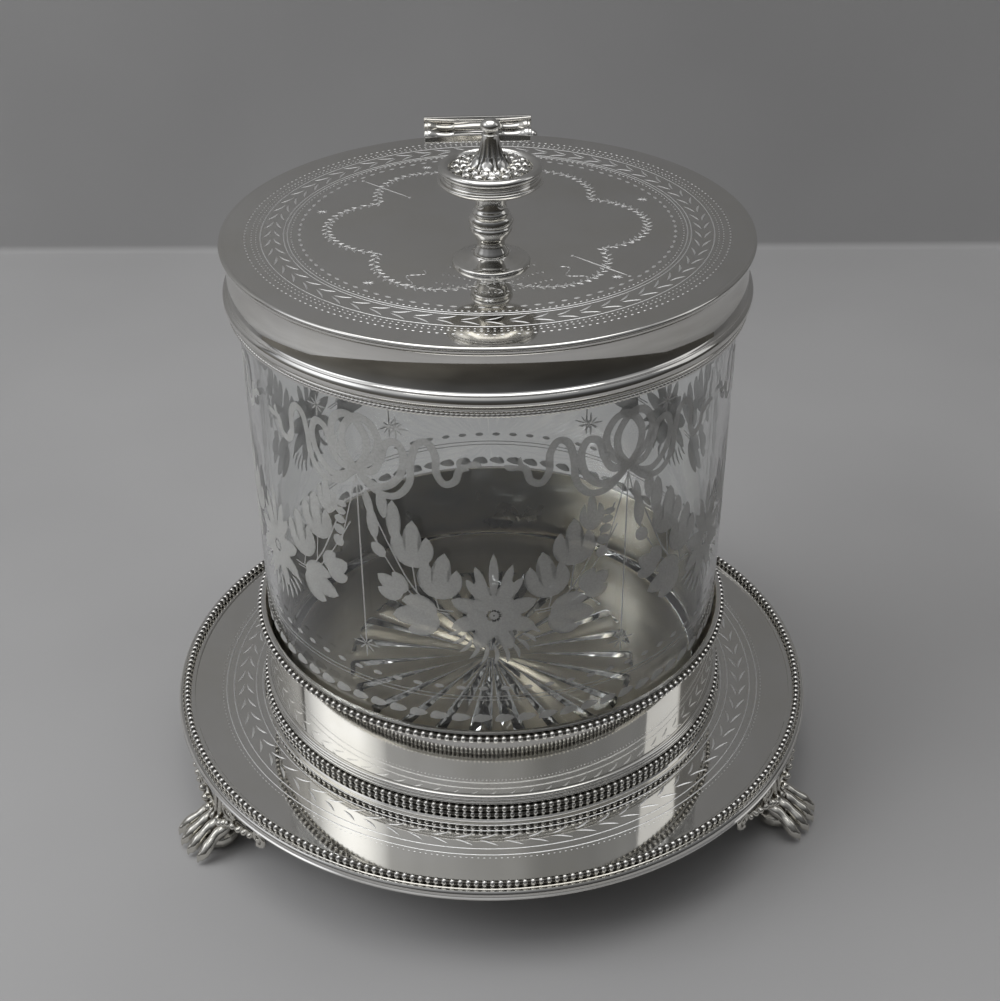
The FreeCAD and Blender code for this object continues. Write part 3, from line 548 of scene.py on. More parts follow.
inner = GLASS_RADIUS - GLASS_WALL
corner = np.linspace(-math.pi / 2, 0, 7)
foot_round = 2.0 * MM
glass_profile = [(r * MM, GLASS_LOW) for r in (0.4, 2, 5, 9, 14, 20, 27, 34, 40, 44, 45.5, 46.2, 47, 47.6,
                                               52, 60)]
glass_profile += [(GLASS_RADIUS - foot_round + foot_round * math.cos(a),
                   GLASS_LOW + foot_round + foot_round * math.sin(a)) for a in corner]
glass_profile += [(GLASS_RADIUS, z) for z in np.linspace(GLASS_LOW + 6 * MM, GLASS_HIGH - 0.6 * MM, 8)]
glass_profile += [(GLASS_RADIUS - 0.5 * MM, GLASS_HIGH), (inner + 0.5 * MM, GLASS_HIGH)]
glass_profile += [(inner, z) for z in np.linspace(GLASS_HIGH - 0.6 * MM, GLASS_LOW + 14 * MM, 8)]
hollow = 5.0 * MM
floor_z = GLASS_LOW + GLASS_BASE
glass_profile += [(inner - hollow + hollow * math.cos(a), floor_z + hollow + hollow * math.sin(a))
                  for a in corner[::-1]]
glass_profile += [(r * MM, floor_z) for r in (50, 35, 18, 0.4)]
glass = turned("glass_cylinder", glass_profile, around=STAR_RAYS * 16, sharp=30, wobble=star_wobble)
stands_for(glass, "jar", GLASS, "glass", "glass_jar")
print("glass triangles", len(glass.data.polygons) * 2)

# %% [markdown]
# Engraving is many short cuts. Each cut here is a thin blade laid on the surface: a centre line with a
# width that may swell and taper, and a low ridge along its middle that catches light as the two sides
# of a real cut do. Leaves, petals, stems, dots and long lines are all blades, so one function makes
# them all at once, and another lays them on the flat lid and tray or round the glass.

# %% Engraved blades
BLADE_SINK = 0.004 * MM
FULL_BLADE = 0.25 * MM


def blade_mesh(name, groups, lay, rise):
    """Strips with a ridge along paths. A group is (paths (n, m, 2), half widths (n, m)). The two edges
    lie at the path plus and minus the half width along its normal, sunk a hair under the surface, and
    the ridge stands above the path by the rise, less where the blade is narrow."""
    points, quads, caps, start = [], [], [], 0
    for paths, widths in groups:
        paths, widths = np.asarray(paths, dtype=float), np.asarray(widths, dtype=float)
        count, steps = paths.shape[:2]
        run = np.gradient(paths, axis=1)
        run /= np.maximum(np.linalg.norm(run, axis=2, keepdims=True), 1e-12)
        side = np.stack([-run[..., 1], run[..., 0]], -1) * widths[..., None]
        base = np.full((count, steps, 1), -BLADE_SINK)
        top = rise * np.minimum(1.0, widths / FULL_BLADE)[..., None]
        left = np.concatenate([paths + side, base], -1)
        middle = np.concatenate([paths, top], -1)
        right = np.concatenate([paths - side, base], -1)
        strip = np.stack([left, middle, right], 2)
        quad = grid_faces(steps, 3)[None] + (np.arange(count) * steps * 3)[:, None, None] + start
        points.append(strip.reshape(-1, 3))
        quads.append(quad.reshape(-1, 4))
        first = start + np.arange(count) * steps * 3
        last = first + (steps - 1) * 3
        caps += [(a + 2, a + 1, a) for a in first.tolist()] + [(a, a + 1, a + 2) for a in last.tolist()]
        start += count * steps * 3
    flat = np.vstack(points)
    quads = np.vstack(quads)
    laid = lay(flat)
    return mesh_from(name, laid, quads[:, ::-1], [cap[::-1] for cap in caps], sharp=20)


def on_level(level):
    """Lay (x, y, rise) on a flat at a height."""
    return lambda p: p + np.array([0, 0, level])


def round_glass(radius):
    """Lay (arc length, height, rise) round an upright cylinder: the angle is the arc over radius."""
    def lay(p):
        angle = p[:, 0] / radius
        reach = radius + p[:, 2]
        return np.stack([reach * np.cos(angle), reach * np.sin(angle), p[:, 1]], -1)
    return lay


def blades(starts, ends, width, bend=0.0, steps=5, power=0.7):
    """Tapered blades from start to end: the width is a sine of the way along, to a power, and the
    middle is moved sideways by the bend times the length."""
    starts, ends = np.atleast_2d(starts).astype(float), np.atleast_2d(ends).astype(float)
    t = np.linspace(0, 1, steps)[None, :, None]
    path = starts[:, None] * (1 - t) + ends[:, None] * t
    chord = ends - starts
    side = np.stack([-chord[:, 1], chord[:, 0]], -1)[:, None]
    path = path + side * bend * np.sin(math.pi * t)
    wide = np.maximum(np.sin(math.pi * t[..., 0]), 0) ** power
    widths = np.broadcast_to(wide, path.shape[:2]) * np.reshape(width, (-1, 1))
    return path, np.maximum(widths, 0.01 * MM)


def lines(paths, width):
    """Even bands along paths, as (paths, half widths)."""
    paths = np.asarray(paths, dtype=float)
    paths = paths[None] if paths.ndim == 2 else paths
    return paths, np.full(paths.shape[:2], width)


def ring_line(radius, width, steps=360):
    """One closed ring as a band that meets itself."""
    angle = np.linspace(0, TURN, steps + 1)
    return lines(np.stack([radius * np.cos(angle), radius * np.sin(angle)], -1), width)


def polar(radius, angle):
    """Point at a radius and an angle, for arrays too."""
    return np.stack([radius * np.cos(angle), radius * np.sin(angle)], -1)


def dotted_ring(radius, count, length, width):
    """Short dashes round a ring."""
    angle = np.linspace(0, TURN, count, endpoint=False)
    half = length / radius / 2
    return blades(polar(radius, angle - half), polar(radius, angle + half), width, steps=4, power=0.5)


# %% [markdown]
# The tray's flat has one engraved band round the gallery: two lines outside, two inside, and between
# them pairs of leaf strokes that point the same way, like a laurel. A faint dotted line runs outside.

# %% Tray engraving
def laurel(inner_radius, outer_radius, pairs, stroke, width):
    """Leaf strokes in pairs: each starts on the middle line and runs forwards to one edge."""
    middle = (inner_radius + outer_radius) / 2
    angle = np.linspace(0, TURN, pairs, endpoint=False)
    step = stroke / middle
    out = blades(polar(middle + 0.0004, angle), polar(outer_radius, angle + step), width, 0.06)
    into = blades(polar(middle - 0.0004, angle), polar(inner_radius, angle + step), width, -0.06)
    return [out, into]


TRAY_RADIUS = radius_of("tray_border")
tray_groups = [ring_line(TRAY_RADIUS * share, 0.19 * MM) for share in (0.850, 0.827, 0.757, 0.736)]
tray_groups += laurel(TRAY_RADIUS * 0.766, TRAY_RADIUS * 0.816, 72, 5.6 * MM, 0.36 * MM)
tray_groups.append(dotted_ring(TRAY_RADIUS * 0.862, 330, 0.7 * MM, 0.14 * MM))
tray_cuts = blade_mesh("tray_engraving", tray_groups, on_level(TRAY_TOP), 0.09 * MM)
stands_for(tray_cuts, "stand", CUT, "silver_plate")
print("tray engraving faces", len(tray_cuts.data.polygons))

# %% [markdown]
# The lid carries more work. From the edge inwards: three rings of dots, a line, a ring of slanted leaf
# strokes, two lines, a ring of dots and a ring of bright dashes. Inside them a garland of tiny leaves
# runs in six lobes round the middle, with small stars, two long cuts with a dot at each end, three rows
# of short strokes in front of the finial and four wavy lines that run outwards.

# %% Lid engraving
def lobed(angle, out=0.435, into=0.335, turn=0.0):
    """Radius of the garland in shares of the tray radius: six round lobes that meet in cusps."""
    swing = np.abs(np.sin(3 * (angle - turn)))
    return TRAY_RADIUS * (into + (out - into) * swing ** 0.8)


def garland(leaves, size, turn):
    """Small leaves on both sides of the lobed line, leaning forwards."""
    angle = np.linspace(0, TURN, leaves, endpoint=False)
    step = TURN / leaves
    here = polar(lobed(angle, turn=turn), angle)
    ahead = polar(lobed(angle + step, turn=turn), angle + step)
    run = ahead - here
    run /= np.linalg.norm(run, axis=1, keepdims=True)
    side = np.stack([-run[:, 1], run[:, 0]], -1)
    hand = np.where(np.arange(leaves) % 2 == 0, 1.0, -1.0)[:, None]
    tips = here + run * size * 0.75 + side * hand * size
    stem = np.stack([here, (here + ahead) / 2, ahead], 1)
    return [blades(here, tips, size * 0.24, steps=5), lines(stem, 0.05 * MM)]


lid_groups = [ring_line(TRAY_RADIUS * share, 0.17 * MM) for share in (0.612, 0.550, 0.540)]
for share, count, length, width in (
        (0.654, 210, 0.95, 0.26), (0.636, 250, 0.7, 0.20), (0.624, 250, 0.7, 0.17),
        (0.530, 200, 0.8, 0.22), (0.508, 92, 2.0, 0.50)):
    lid_groups.append(dotted_ring(TRAY_RADIUS * share, count, length * MM, width * MM))
lid_groups += laurel(TRAY_RADIUS * 0.558, TRAY_RADIUS * 0.604, 62, 4.8 * MM, 0.33 * MM)
GARLAND_TURN = math.radians(30)
lid_groups += garland(230, 1.5 * MM, GARLAND_TURN)
lid_groups += garland(170, 0.8 * MM, GARLAND_TURN)
for spoke in (135, 315):
    angle = math.radians(spoke)
    near, far = polar(TRAY_RADIUS * 0.30, angle), polar(TRAY_RADIUS * 0.49, angle)
    lid_groups.append(blades(near, far, 0.28 * MM, steps=9, power=0.3))
    lid_groups.append(blades([near - 0.0004, far - 0.0004], [near + 0.0004, far + 0.0004], 0.5 * MM))
for degrees in (228, 268, 312, 20, 70, 110, 165):
    centre = polar(TRAY_RADIUS * 0.47, math.radians(degrees))
    arms = np.radians(degrees + np.array([30, 75, 120, 165]))
    reach = np.stack([np.cos(arms), np.sin(arms)], -1) * 1.6 * MM
    lid_groups.append(blades(centre - reach, centre + reach, 0.22 * MM))
for share, dots in ((0.30, 15), (0.35, 19), (0.40, 21)):
    sweep = np.radians(np.linspace(248, 292, dots))
    drop = TRAY_RADIUS * share + 2.0 * MM * np.cos((sweep - math.radians(270)) * 9)
    lid_groups.append(blades(polar(drop, sweep), polar(drop + 0.9 * MM, sweep + 0.01), 0.3 * MM))
for turn in (-32, 0, 32, 180):
    angle = math.radians(270 + turn)
    rise = np.linspace(0, 1, 12)
    drop = polar(TRAY_RADIUS * (0.33 + 0.1 * rise), angle + 0.05 * np.sin(rise * 9))
    lid_groups.append(blades(drop[:-1], drop[1:], 0.22 * MM))
lid_cuts = blade_mesh("lid_engraving", lid_groups, on_level(LID_TOP), 0.09 * MM)
stands_for(lid_cuts, "lid", CUT, "silver_plate")
print("lid engraving faces", len(lid_cuts.data.polygons))

# %% [markdown]
# The photo shows soft, unbroken reflections round every turned wall, so those pieces are turned again
# here with many more steps than a plain solid is shown with. Their stations follow the solids: small
# coves, fillets and reeds are added where the photo shows a bright or a dark line.

# %% Turned silver
def stations(*pairs):
    """Stations written in mm, as an array in metres."""
    return np.array(pairs, dtype=float) * MM


def reed(radius, bottom, top, stand, steps=9):
    """Reed: between two heights the radius swells by the stand times a half sine to the power 0.7."""
    t = np.linspace(0, 1, steps)
    return np.stack([radius + stand * np.sin(math.pi * t) ** 0.7, bottom + (top - bottom) * t], -1)


def in_mm(value):
    """Metres as millimetres, for writing stations beside sizes from the frame."""
    return value / MM


edge = in_mm(radius_of("tray_border"))
border_low, border_high = in_mm(low("tray_border")), in_mm(high("tray_border"))
sheet_high = in_mm(TRAY_TOP)
border = stations(
    (edge - 5.25, sheet_high + 0.04), (edge - 5.25, border_high - 0.12), (edge - 5.1, border_high),
    (edge - 1.95, border_high), (edge - 1.8, border_high - 0.35), (edge - 1.65, border_high - 0.1),
    (edge - 1.2, border_high + 0.15), (edge - 0.7, border_high + 0.1), (edge - 0.3, border_high - 0.25),
    (edge - 0.08, border_high - 0.8), (edge, border_high - 1.35), (edge - 0.3, border_high - 1.7),
    (edge - 0.35, border_low + 0.9), (edge, border_low + 0.6), (edge, border_low + 0.2),
    (edge - 0.25, border_low), (edge - 1.5, border_low), (edge - 1.55, sheet_high + 0.04))
stands_for(turned("tray_border_rim", border, 384, closed=True), "stand", PLATE, "silver_plate",
           "tray_border")

wall = in_mm(radius_of("gallery_top_bead")) - 2.1
base, lip = in_mm(low("gallery_band")), in_mm(high("gallery_band"))
bore = wall - 0.84
gallery = stations(
    (bore, base), (wall + 1.9, base), (wall + 2.3, base + 0.3), (wall + 2.35, base + 1.0),
    (wall + 2.0, base + 1.35), (wall + 0.3, base + 1.42), (wall, base + 1.8), (wall, lip - 3.4),
    (wall + 0.35, lip - 3.15), (wall + 0.35, lip - 2.9), (wall, lip - 2.7), (wall, lip - 0.95),
    (wall + 0.5, lip - 0.75), (wall + 0.72, lip - 0.4), (wall + 0.5, lip - 0.05), (wall + 0.1, lip),
    (bore + 0.15, lip), (bore, lip - 0.15))
stands_for(turned("gallery_wall", gallery, 320, closed=True), "stand", GALLERY, "silver_plate",
           "gallery_band")
dress(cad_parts["tray"], GALLERY)

# %% [markdown]
# Round the gallery's wall runs a collar of three reeds. Each swells out as a blunted half sine between
# two heights, so the light breaks into three thin lines, as on the real one.

# %% Gallery reeds
reed_low, reed_high = low("gallery_reeds"), high("gallery_reeds")
third = (reed_high - reed_low) / 3
reeds = np.vstack([stations((wall + 0.03, in_mm(reed_low)))]
                  + [reed(wall * MM + 0.4 * MM, reed_low + third * k, reed_low + third * (k + 1), 0.5 * MM)
                     for k in range(3)] + [stations((wall + 0.03, in_mm(reed_high)))])
stands_for(turned("gallery_three_reeds", reeds, 320, closed=True), "stand", PLATE, "silver_plate",
           "gallery_reeds")

# %% [markdown]
# The mount is the band of silver round the jar's mouth. From below it has a reed, a bulge and a hollow
# cove. A spun band has no sharp corners, so both curves run smoothly through a few stations.

# %% Mount
foot, crest = in_mm(low("mount_band")), in_mm(high("mount_band"))
inside = in_mm(GLASS_RADIUS) + 0.8
outside = inside + 1.3
ledge = in_mm(GLASS_HIGH) + 0.3
mount_low = stations((inside, foot), (outside, foot), (outside + 0.1, foot + 0.05))
mount_reed = reed((outside + 0.1) * MM, (foot + 0.1) * MM, (foot + 1.25) * MM, 0.75 * MM)
bulge = smooth_profile(stations(
    (outside + 0.05, foot + 1.45), (outside + 0.9, foot + 1.65), (outside + 1.5, foot + 2.3),
    (outside + 1.6, foot + 3.1), (outside + 1.35, foot + 3.9), (outside + 1.0, foot + 4.35),
    (outside + 0.75, foot + 4.6), (outside + 0.72, foot + 4.9), (outside + 0.3, foot + 5.2),
    (outside, foot + 5.5)), 4)
cove = smooth_profile(stations(
    (outside, crest - 3.2), (outside + 0.02, crest - 2.4), (outside + 0.2, crest - 1.5),
    (outside + 0.55, crest - 0.8), (outside + 0.8, crest - 0.4)), 4)
mount_high = stations((outside + 0.8, crest), (inside - 1.0, crest), (inside - 1.0, ledge), (inside, ledge))
mount = np.vstack([mount_low, mount_reed, bulge, cove, mount_high])
stands_for(turned("mount_turned", mount, 384, closed=True, sharp=50), "jar", PLATE, "silver_plate",
           "mount_band")

# %% [markdown]
# The lid is one flat sheet with a rounded edge and a fine step inside it. Its profile is turned about
# the lid's middle from 1.6 mm out, which leaves a small open hole there, behind the finial's stem.

# %% Lid sheet
rim = in_mm(LID_RADIUS)
under, over = in_mm(low("lid_plate")), in_mm(LID_TOP)
lid = stations(
    (1.6, under), (rim - 0.7, under), (rim - 0.25, under + 0.15), (rim, under + 0.55),
    (rim - 0.12, under + 0.9), (rim - 0.5, over - 0.06), (rim - 1.0, over), (rim - 1.35, over - 0.1),
    (rim - 1.6, over - 0.04), (rim - 1.9, over), (1.6, over))
stands_for(turned("lid_sheet", lid, 384, closed=True, sharp=50), "lid", PLATE, "silver_plate",
           "lid_plate")

# %% [markdown]
# The engraver divided the glass in six. In each sixth a many-petalled flower hangs between two ribbon
# bows, with a leaf garland rising on either side to the plumb line under the bow. A wheel leaves flat,
# frosted patches, so each leaf and petal is one broad blade, or three where the leaf has three teeth.
# The pattern is drawn once, in mm of arc and height, and laid round the glass six times.

# %% Glass engraving
SECTOR = TURN / 6
ARC = in_mm(GLASS_RADIUS)


def curve(points, steps=8):
    """Smooth line through points in mm."""
    return smooth_profile(points, steps)


def ribbon(points, width=1.1):
    """Even band through points."""
    return lines(curve(points), width)


def three_toothed(root, tip, wide):
    """Leaf with three teeth: a long middle blade and a shorter, wider one on each side."""
    root, tip = np.asarray(root, dtype=float), np.asarray(tip, dtype=float)
    way = tip - root
    side = np.array([-way[1], way[0]]) / np.linalg.norm(way)
    left = root + way * 0.74 + side * wide * 0.86
    right = root + way * 0.70 - side * wide * 0.86
    return [blades(root, tip, wide * 0.62, steps=9, power=0.6),
            blades(root, left, wide * 0.50, bend=0.16, steps=9, power=0.6),
            blades(root, right, wide * 0.50, bend=-0.16, steps=9, power=0.6)]


def fan(centre, angles, near, far, width, bend=0.0):
    """Blades that stand out from a centre between two radii."""
    ways = np.stack([np.cos(angles), np.sin(angles)], -1)
    centre = np.asarray(centre, dtype=float)
    return blades(centre + ways * np.reshape(near, (-1, 1)), centre + ways * np.reshape(far, (-1, 1)),
                  width, bend, steps=8, power=0.6)


def flower(x, z):
    """Eight broad petals, narrow upright ones over them and a fan of short strokes below."""
    centre = (x, z)
    return [fan(centre, np.radians(np.arange(8) * 45 + 22), 1.6, 12.6, 2.7),
            fan(centre, np.radians(np.arange(8) * 45 + 45), 1.8, 7.5, 1.2),
            fan(centre, np.radians(np.array([58, 73, 90, 107, 122])), 6.0,
                np.array([14.5, 17.5, 20.5, 17.0, 14.0]), 1.35),
            fan(centre, np.radians(np.linspace(208, 332, 11)), 10.0,
                14.5 + 2.5 * np.sin(np.linspace(0, math.pi, 11)), 0.62, 0.12),
            fan(centre, np.radians(np.arange(12) * 30), 0.2, 1.5, 0.4)]


def star(x, z, size):
    """Eight thin rays, each second one shorter."""
    reach = np.where(np.arange(8) % 2 == 0, size, size * 0.68)
    return [fan((x, z), np.radians(np.arange(8) * 45 + 90), 0.15, reach, 0.28)]


# %% [markdown]
# The ribbon bows are even bands bent through a few points. Half a bow is drawn for the right hand, and
# the same points are mirrored for the left.

# %% Ribbon bow
def bow(x, z):
    """Ribbon bow: two tall loops in the middle, a loop at each side and two waving tails."""
    shapes = []
    for hand in (-1, 1):
        def at(*pairs):
            """Points drawn for the right hand, mirrored for the left, about the knot."""
            return np.array([(x + hand * px, z + pz) for px, pz in pairs])
        shapes.append(ribbon(at((0, 0), (-3.2, 4.5), (-3.6, 10.5), (0.2, 15.6), (4.6, 15.2), (7.2, 10.6),
                                (5.6, 5.0), (0.6, 0.2)), 1.15))
        shapes.append(ribbon(at((0, 0), (5.0, 0.6), (7.6, 4.8), (9.4, 9.8), (12.6, 10.6), (14.2, 6.4),
                                (12.6, 0.4), (8.2, -3.4), (3.6, -2.6), (0.5, 0.2)), 1.1))
        shapes.append(ribbon(at((1.0, -1.0), (6.0, -5.2), (11.5, -5.4), (15.4, -0.8), (16.2, 6.0),
                                (17.8, 11.0), (20.6, 12.0), (22.6, 8.6), (22.8, 3.4), (24.8, 0.2),
                                (27.6, 1.2), (28.8, 4.6), (31.0, 5.6)), 1.05))
        shapes.append(blades(at((30.4, 5.6)), at((34.6, 6.2)), 1.0, 0.15, 7, 0.6))
        shapes.append(blades(at((28.8, 4.8)), at((30.2, 8.6)), 0.7, 0.2, 7, 0.6))
    shapes.append(blades([(x - 1.8, z)], [(x + 1.8, z)], 1.5, steps=7, power=0.5))
    return shapes


# %% [markdown]
# From each flower two stems climb to the plumb line under the bow. The photo shows leaves with three
# teeth on both sides of them, and berries on one side only.

# %% Garland
def garland_side(x, z, hand, berries):
    """Leaves on two thin stems that climb from the flower to the plumb line."""
    def at(px, pz):
        """Point drawn for the right hand, from the flower's centre."""
        return (x + hand * px, z + pz)
    shapes = [lines(curve([at(11, 1), at(17, 2), at(23, 9), at(28.5, 20), at(33.5, 31)]), 0.24),
              lines(curve([at(12, 0), at(19, 1.5), at(25.5, 9), at(30.5, 17), at(34.5, 24)]), 0.2),
              lines(curve([at(15, 1.5), at(16, 6)]), 0.2), lines(curve([at(21, 6), at(22, 15)]), 0.2)]
    shapes += three_toothed(at(15.5, -0.5), at(28.5, -3.2), 5.6)
    shapes += three_toothed(at(25.0, 4.6), at(32.4, 9.6), 4.3)
    shapes += three_toothed(at(15.6, 4.8), at(13.0, 20.0), 4.6)
    shapes += three_toothed(at(22.2, 14.0), at(21.6, 29.2), 4.5)
    if berries:
        sizes = np.array([1.9, 1.6, 1.4, 1.2, 1.0])
        heights = np.array([16.4, 20.2, 23.6, 26.4, 28.8])
        places = np.array([at(30 + 0.45 * k, height) for k, height in enumerate(heights)])
        shapes.append(blades(places - [1.9, 0], places + [1.9, 0], sizes, steps=9, power=0.5))
        shapes += three_toothed(at(27.0, 24.0), at(26.4, 36.0), 2.4)
    else:
        roots = [at(26.8, 21.5), at(29.6, 28.0), at(32.6, 20.6), at(33.2, 27.0), at(29.8, 15.6)]
        tips = [at(27.0, 34.5), at(30.4, 37.6), at(33.6, 31.0), at(34.8, 36.0), at(33.6, 19.6)]
        shapes.append(blades(roots, tips, np.array([2.2, 1.7, 1.8, 1.3, 2.0]), steps=9, power=0.6))
    return shapes


# %% [markdown]
# Now one sixth of the round is put together, with its dots, its long leaves near the foot and its two
# fine rings, and then it is laid round the glass six times as one mesh.

# %% Laid round the glass
def one_sixth():
    """All blades of one sixth of the glass, in mm, with the flower in its middle."""
    rise = in_mm(RIM_LEVEL)
    knot, bloom = 116.0 + rise, 74.6 + rise
    half = ARC * SECTOR / 2
    shapes = flower(0, bloom) + bow(half, knot)
    shapes += garland_side(0, bloom, 1, True) + garland_side(0, bloom, -1, False)
    shapes += star(-25.0, 131.0 + rise, 3.6) + star(25.5, 131.5 + rise, 3.4)
    shapes += star(half, 58.5 + rise, 4.6)
    shapes.append(lines(np.linspace((half, knot - 2), (half, 60.0 + rise), 6), 0.24))
    for hand in (-1, 1):
        shapes.append(lines(np.linspace((half, knot - 2), (half + hand * 6.6, knot - 26), 5), 0.2))
    along = (np.arange(12) + 0.5) / 12 * ARC * SECTOR
    dots = np.stack([along, np.full(12, 49.2 + rise)], -1)
    shapes.append(blades(dots - [1.5, 0], dots + [1.5, 0], 0.7, steps=7, power=0.5))
    row = np.stack([along, np.full(12, 37.6 + rise)], -1)
    shapes.append(blades(row - [2.9, 0.5], row + [2.6, 0.9], 1.35, 0.1, 7, 0.6))
    shapes.append(blades(row - [2.9, 0.5], row + [-0.4, 2.3], 0.6, 0.1, 7, 0.6))
    for height in (46.3, 45.0):
        level = np.linspace((0, height + rise), (ARC * SECTOR, height + rise), 25)
        shapes.append(lines(level, 0.16))
    return shapes


FLOWER_TURN = math.radians(268.5)
glass_groups = []
for paths, widths in one_sixth():
    for sixth in range(6):
        arc = ARC * (FLOWER_TURN + SECTOR * sixth)
        glass_groups.append(((np.asarray(paths) + [arc, 0]) * MM, np.asarray(widths) * MM))
glass_cuts = blade_mesh("glass_engraving", glass_groups, round_glass(GLASS_RADIUS), 0.035 * MM)
stands_for(glass_cuts, "jar", FROST, "glass")
print("glass engraving faces", len(glass_cuts.data.polygons))

# %% [markdown]
# The feet are castings: a lion's paw with four knuckled toes and claws under a fluted leg, and scrolled
# wings with chains of beads under the rim. Such forms are built as a caster's modeller would, from
# lumps and rolls of wax pressed together. Here they are ellipsoids and tapered rolls, and a voxel
# remesh melts them to one skin. One foot is modelled along +X, and all three are turned copies of it.

# %% Lumps and rolls
UNDER_TRAY = 24.6


def lump(centre, radii, lean=0.0):
    """Ellipsoid with its long way leaning up by an angle in degrees, as (points, rows, columns)."""
    polar_angle = np.linspace(-0.5, 0.5, 11)[:, None] * math.pi * 0.98
    spin = np.linspace(0, TURN, 14, endpoint=False)[None, :]
    ball = np.stack(np.broadcast_arrays(np.cos(polar_angle) * np.cos(spin),
                                        np.cos(polar_angle) * np.sin(spin), np.sin(polar_angle)), -1)
    ball = ball.reshape(-1, 3) * np.asarray(radii, dtype=float)
    tip = math.radians(lean)
    x = ball[:, 0] * math.cos(tip) - ball[:, 2] * math.sin(tip)
    z = ball[:, 0] * math.sin(tip) + ball[:, 2] * math.cos(tip)
    return np.stack([x, ball[:, 1], z], -1) + np.asarray(centre, dtype=float), 11, 14


def roll(path, radii, sides=10):
    """Round roll of wax along a path, as (points, rows, columns). Its radii are spread over the path."""
    path = smooth_profile(path, 5)
    given = np.linspace(0, 1, len(radii))
    thick = np.interp(np.linspace(0, 1, len(path)), given, radii)
    run = np.gradient(path, axis=0)
    run /= np.linalg.norm(run, axis=1, keepdims=True)
    least = np.eye(3)[np.argmin(np.abs(run).sum(axis=0))]
    across = np.cross(run, least)
    across /= np.linalg.norm(across, axis=1, keepdims=True)
    upright = np.cross(run, across)
    spin = np.linspace(0, TURN, sides, endpoint=False)[None, :, None]
    points = path[:, None] + thick[:, None, None] * (np.cos(spin) * across[:, None]
                                                     + np.sin(spin) * upright[:, None])
    return points.reshape(-1, 3), len(path), sides


# %% [markdown]
# Remeshing wraps one even skin round all the lumps and rolls, and a little smoothing rubs it down as a
# file would. Next, the mesh is asked how deep each point lies: the mean place of its neighbours stands
# out along the normal in a hollow, and lies behind it on a bump.

# %% Pressed wax
def pressed(name, shapes, voxel, floor, ceiling):
    """All shapes melted to one skin: joined, remeshed with small voxels, smoothed and cut level."""
    points, quads, caps = joined(shapes)
    rough = mesh_from(name + "_wax", points * MM, quads, caps)
    melt = rough.modifiers.new("melt", "REMESH")
    melt.mode = "VOXEL"
    melt.voxel_size = voxel * MM
    rub = rough.modifiers.new("rub", "SMOOTH")
    rub.factor, rub.iterations = 0.5, 3
    skin = bpy.data.meshes.new_from_object(rough.evaluated_get(bpy.context.evaluated_depsgraph_get()))
    bpy.data.objects.remove(rough)
    places = np.empty(len(skin.vertices) * 3)
    skin.vertices.foreach_get("co", places)
    places = places.reshape(-1, 3)
    places[:, 2] = np.clip(places[:, 2], floor * MM, ceiling * MM)
    skin.vertices.foreach_set("co", places.ravel())
    skin.polygons.foreach_set("use_smooth", np.ones(len(skin.polygons), dtype=bool))
    skin.update()
    store_hollow(skin)
    return skin


def store_hollow(mesh, reach=0.00011):
    """Number from 0 to 1 at each point: how far its neighbours' middle lies out along its normal."""
    count = len(mesh.vertices)
    places, normals = np.empty(count * 3), np.empty(count * 3)
    edges = np.empty(len(mesh.edges) * 2, dtype=np.int64)
    mesh.vertices.foreach_get("co", places)
    mesh.vertex_normals.foreach_get("vector", normals)
    mesh.edges.foreach_get("vertices", edges)
    places, normals, edges = places.reshape(-1, 3), normals.reshape(-1, 3), edges.reshape(-1, 2)
    both = np.vstack([edges, edges[:, ::-1]])
    share = np.bincount(both[:, 0], minlength=count).clip(1)[:, None]

    def around(values):
        """Mean of each point's neighbours."""
        sums = np.stack([np.bincount(both[:, 0], values[both[:, 1], k], count)
                         for k in range(values.shape[1])], -1)
        return sums / share

    blurred = places
    for _ in range(6):
        blurred = around(blurred)
    depth = ((blurred - places) * normals).sum(axis=1, keepdims=True)
    depth = around(np.clip(depth / reach, 0, 1))
    stored = mesh.attributes.new("hollow", "FLOAT", "POINT")
    stored.data.foreach_set("value", depth.ravel().astype(np.float32))


# %% [markdown]
# The paw has four toes. Each one is a tapered roll with a knuckle, a claw on its tip and a sinew that
# runs back to the leg. The leg is a thick roll with flutes round it and a ruff of fur at the ankle.

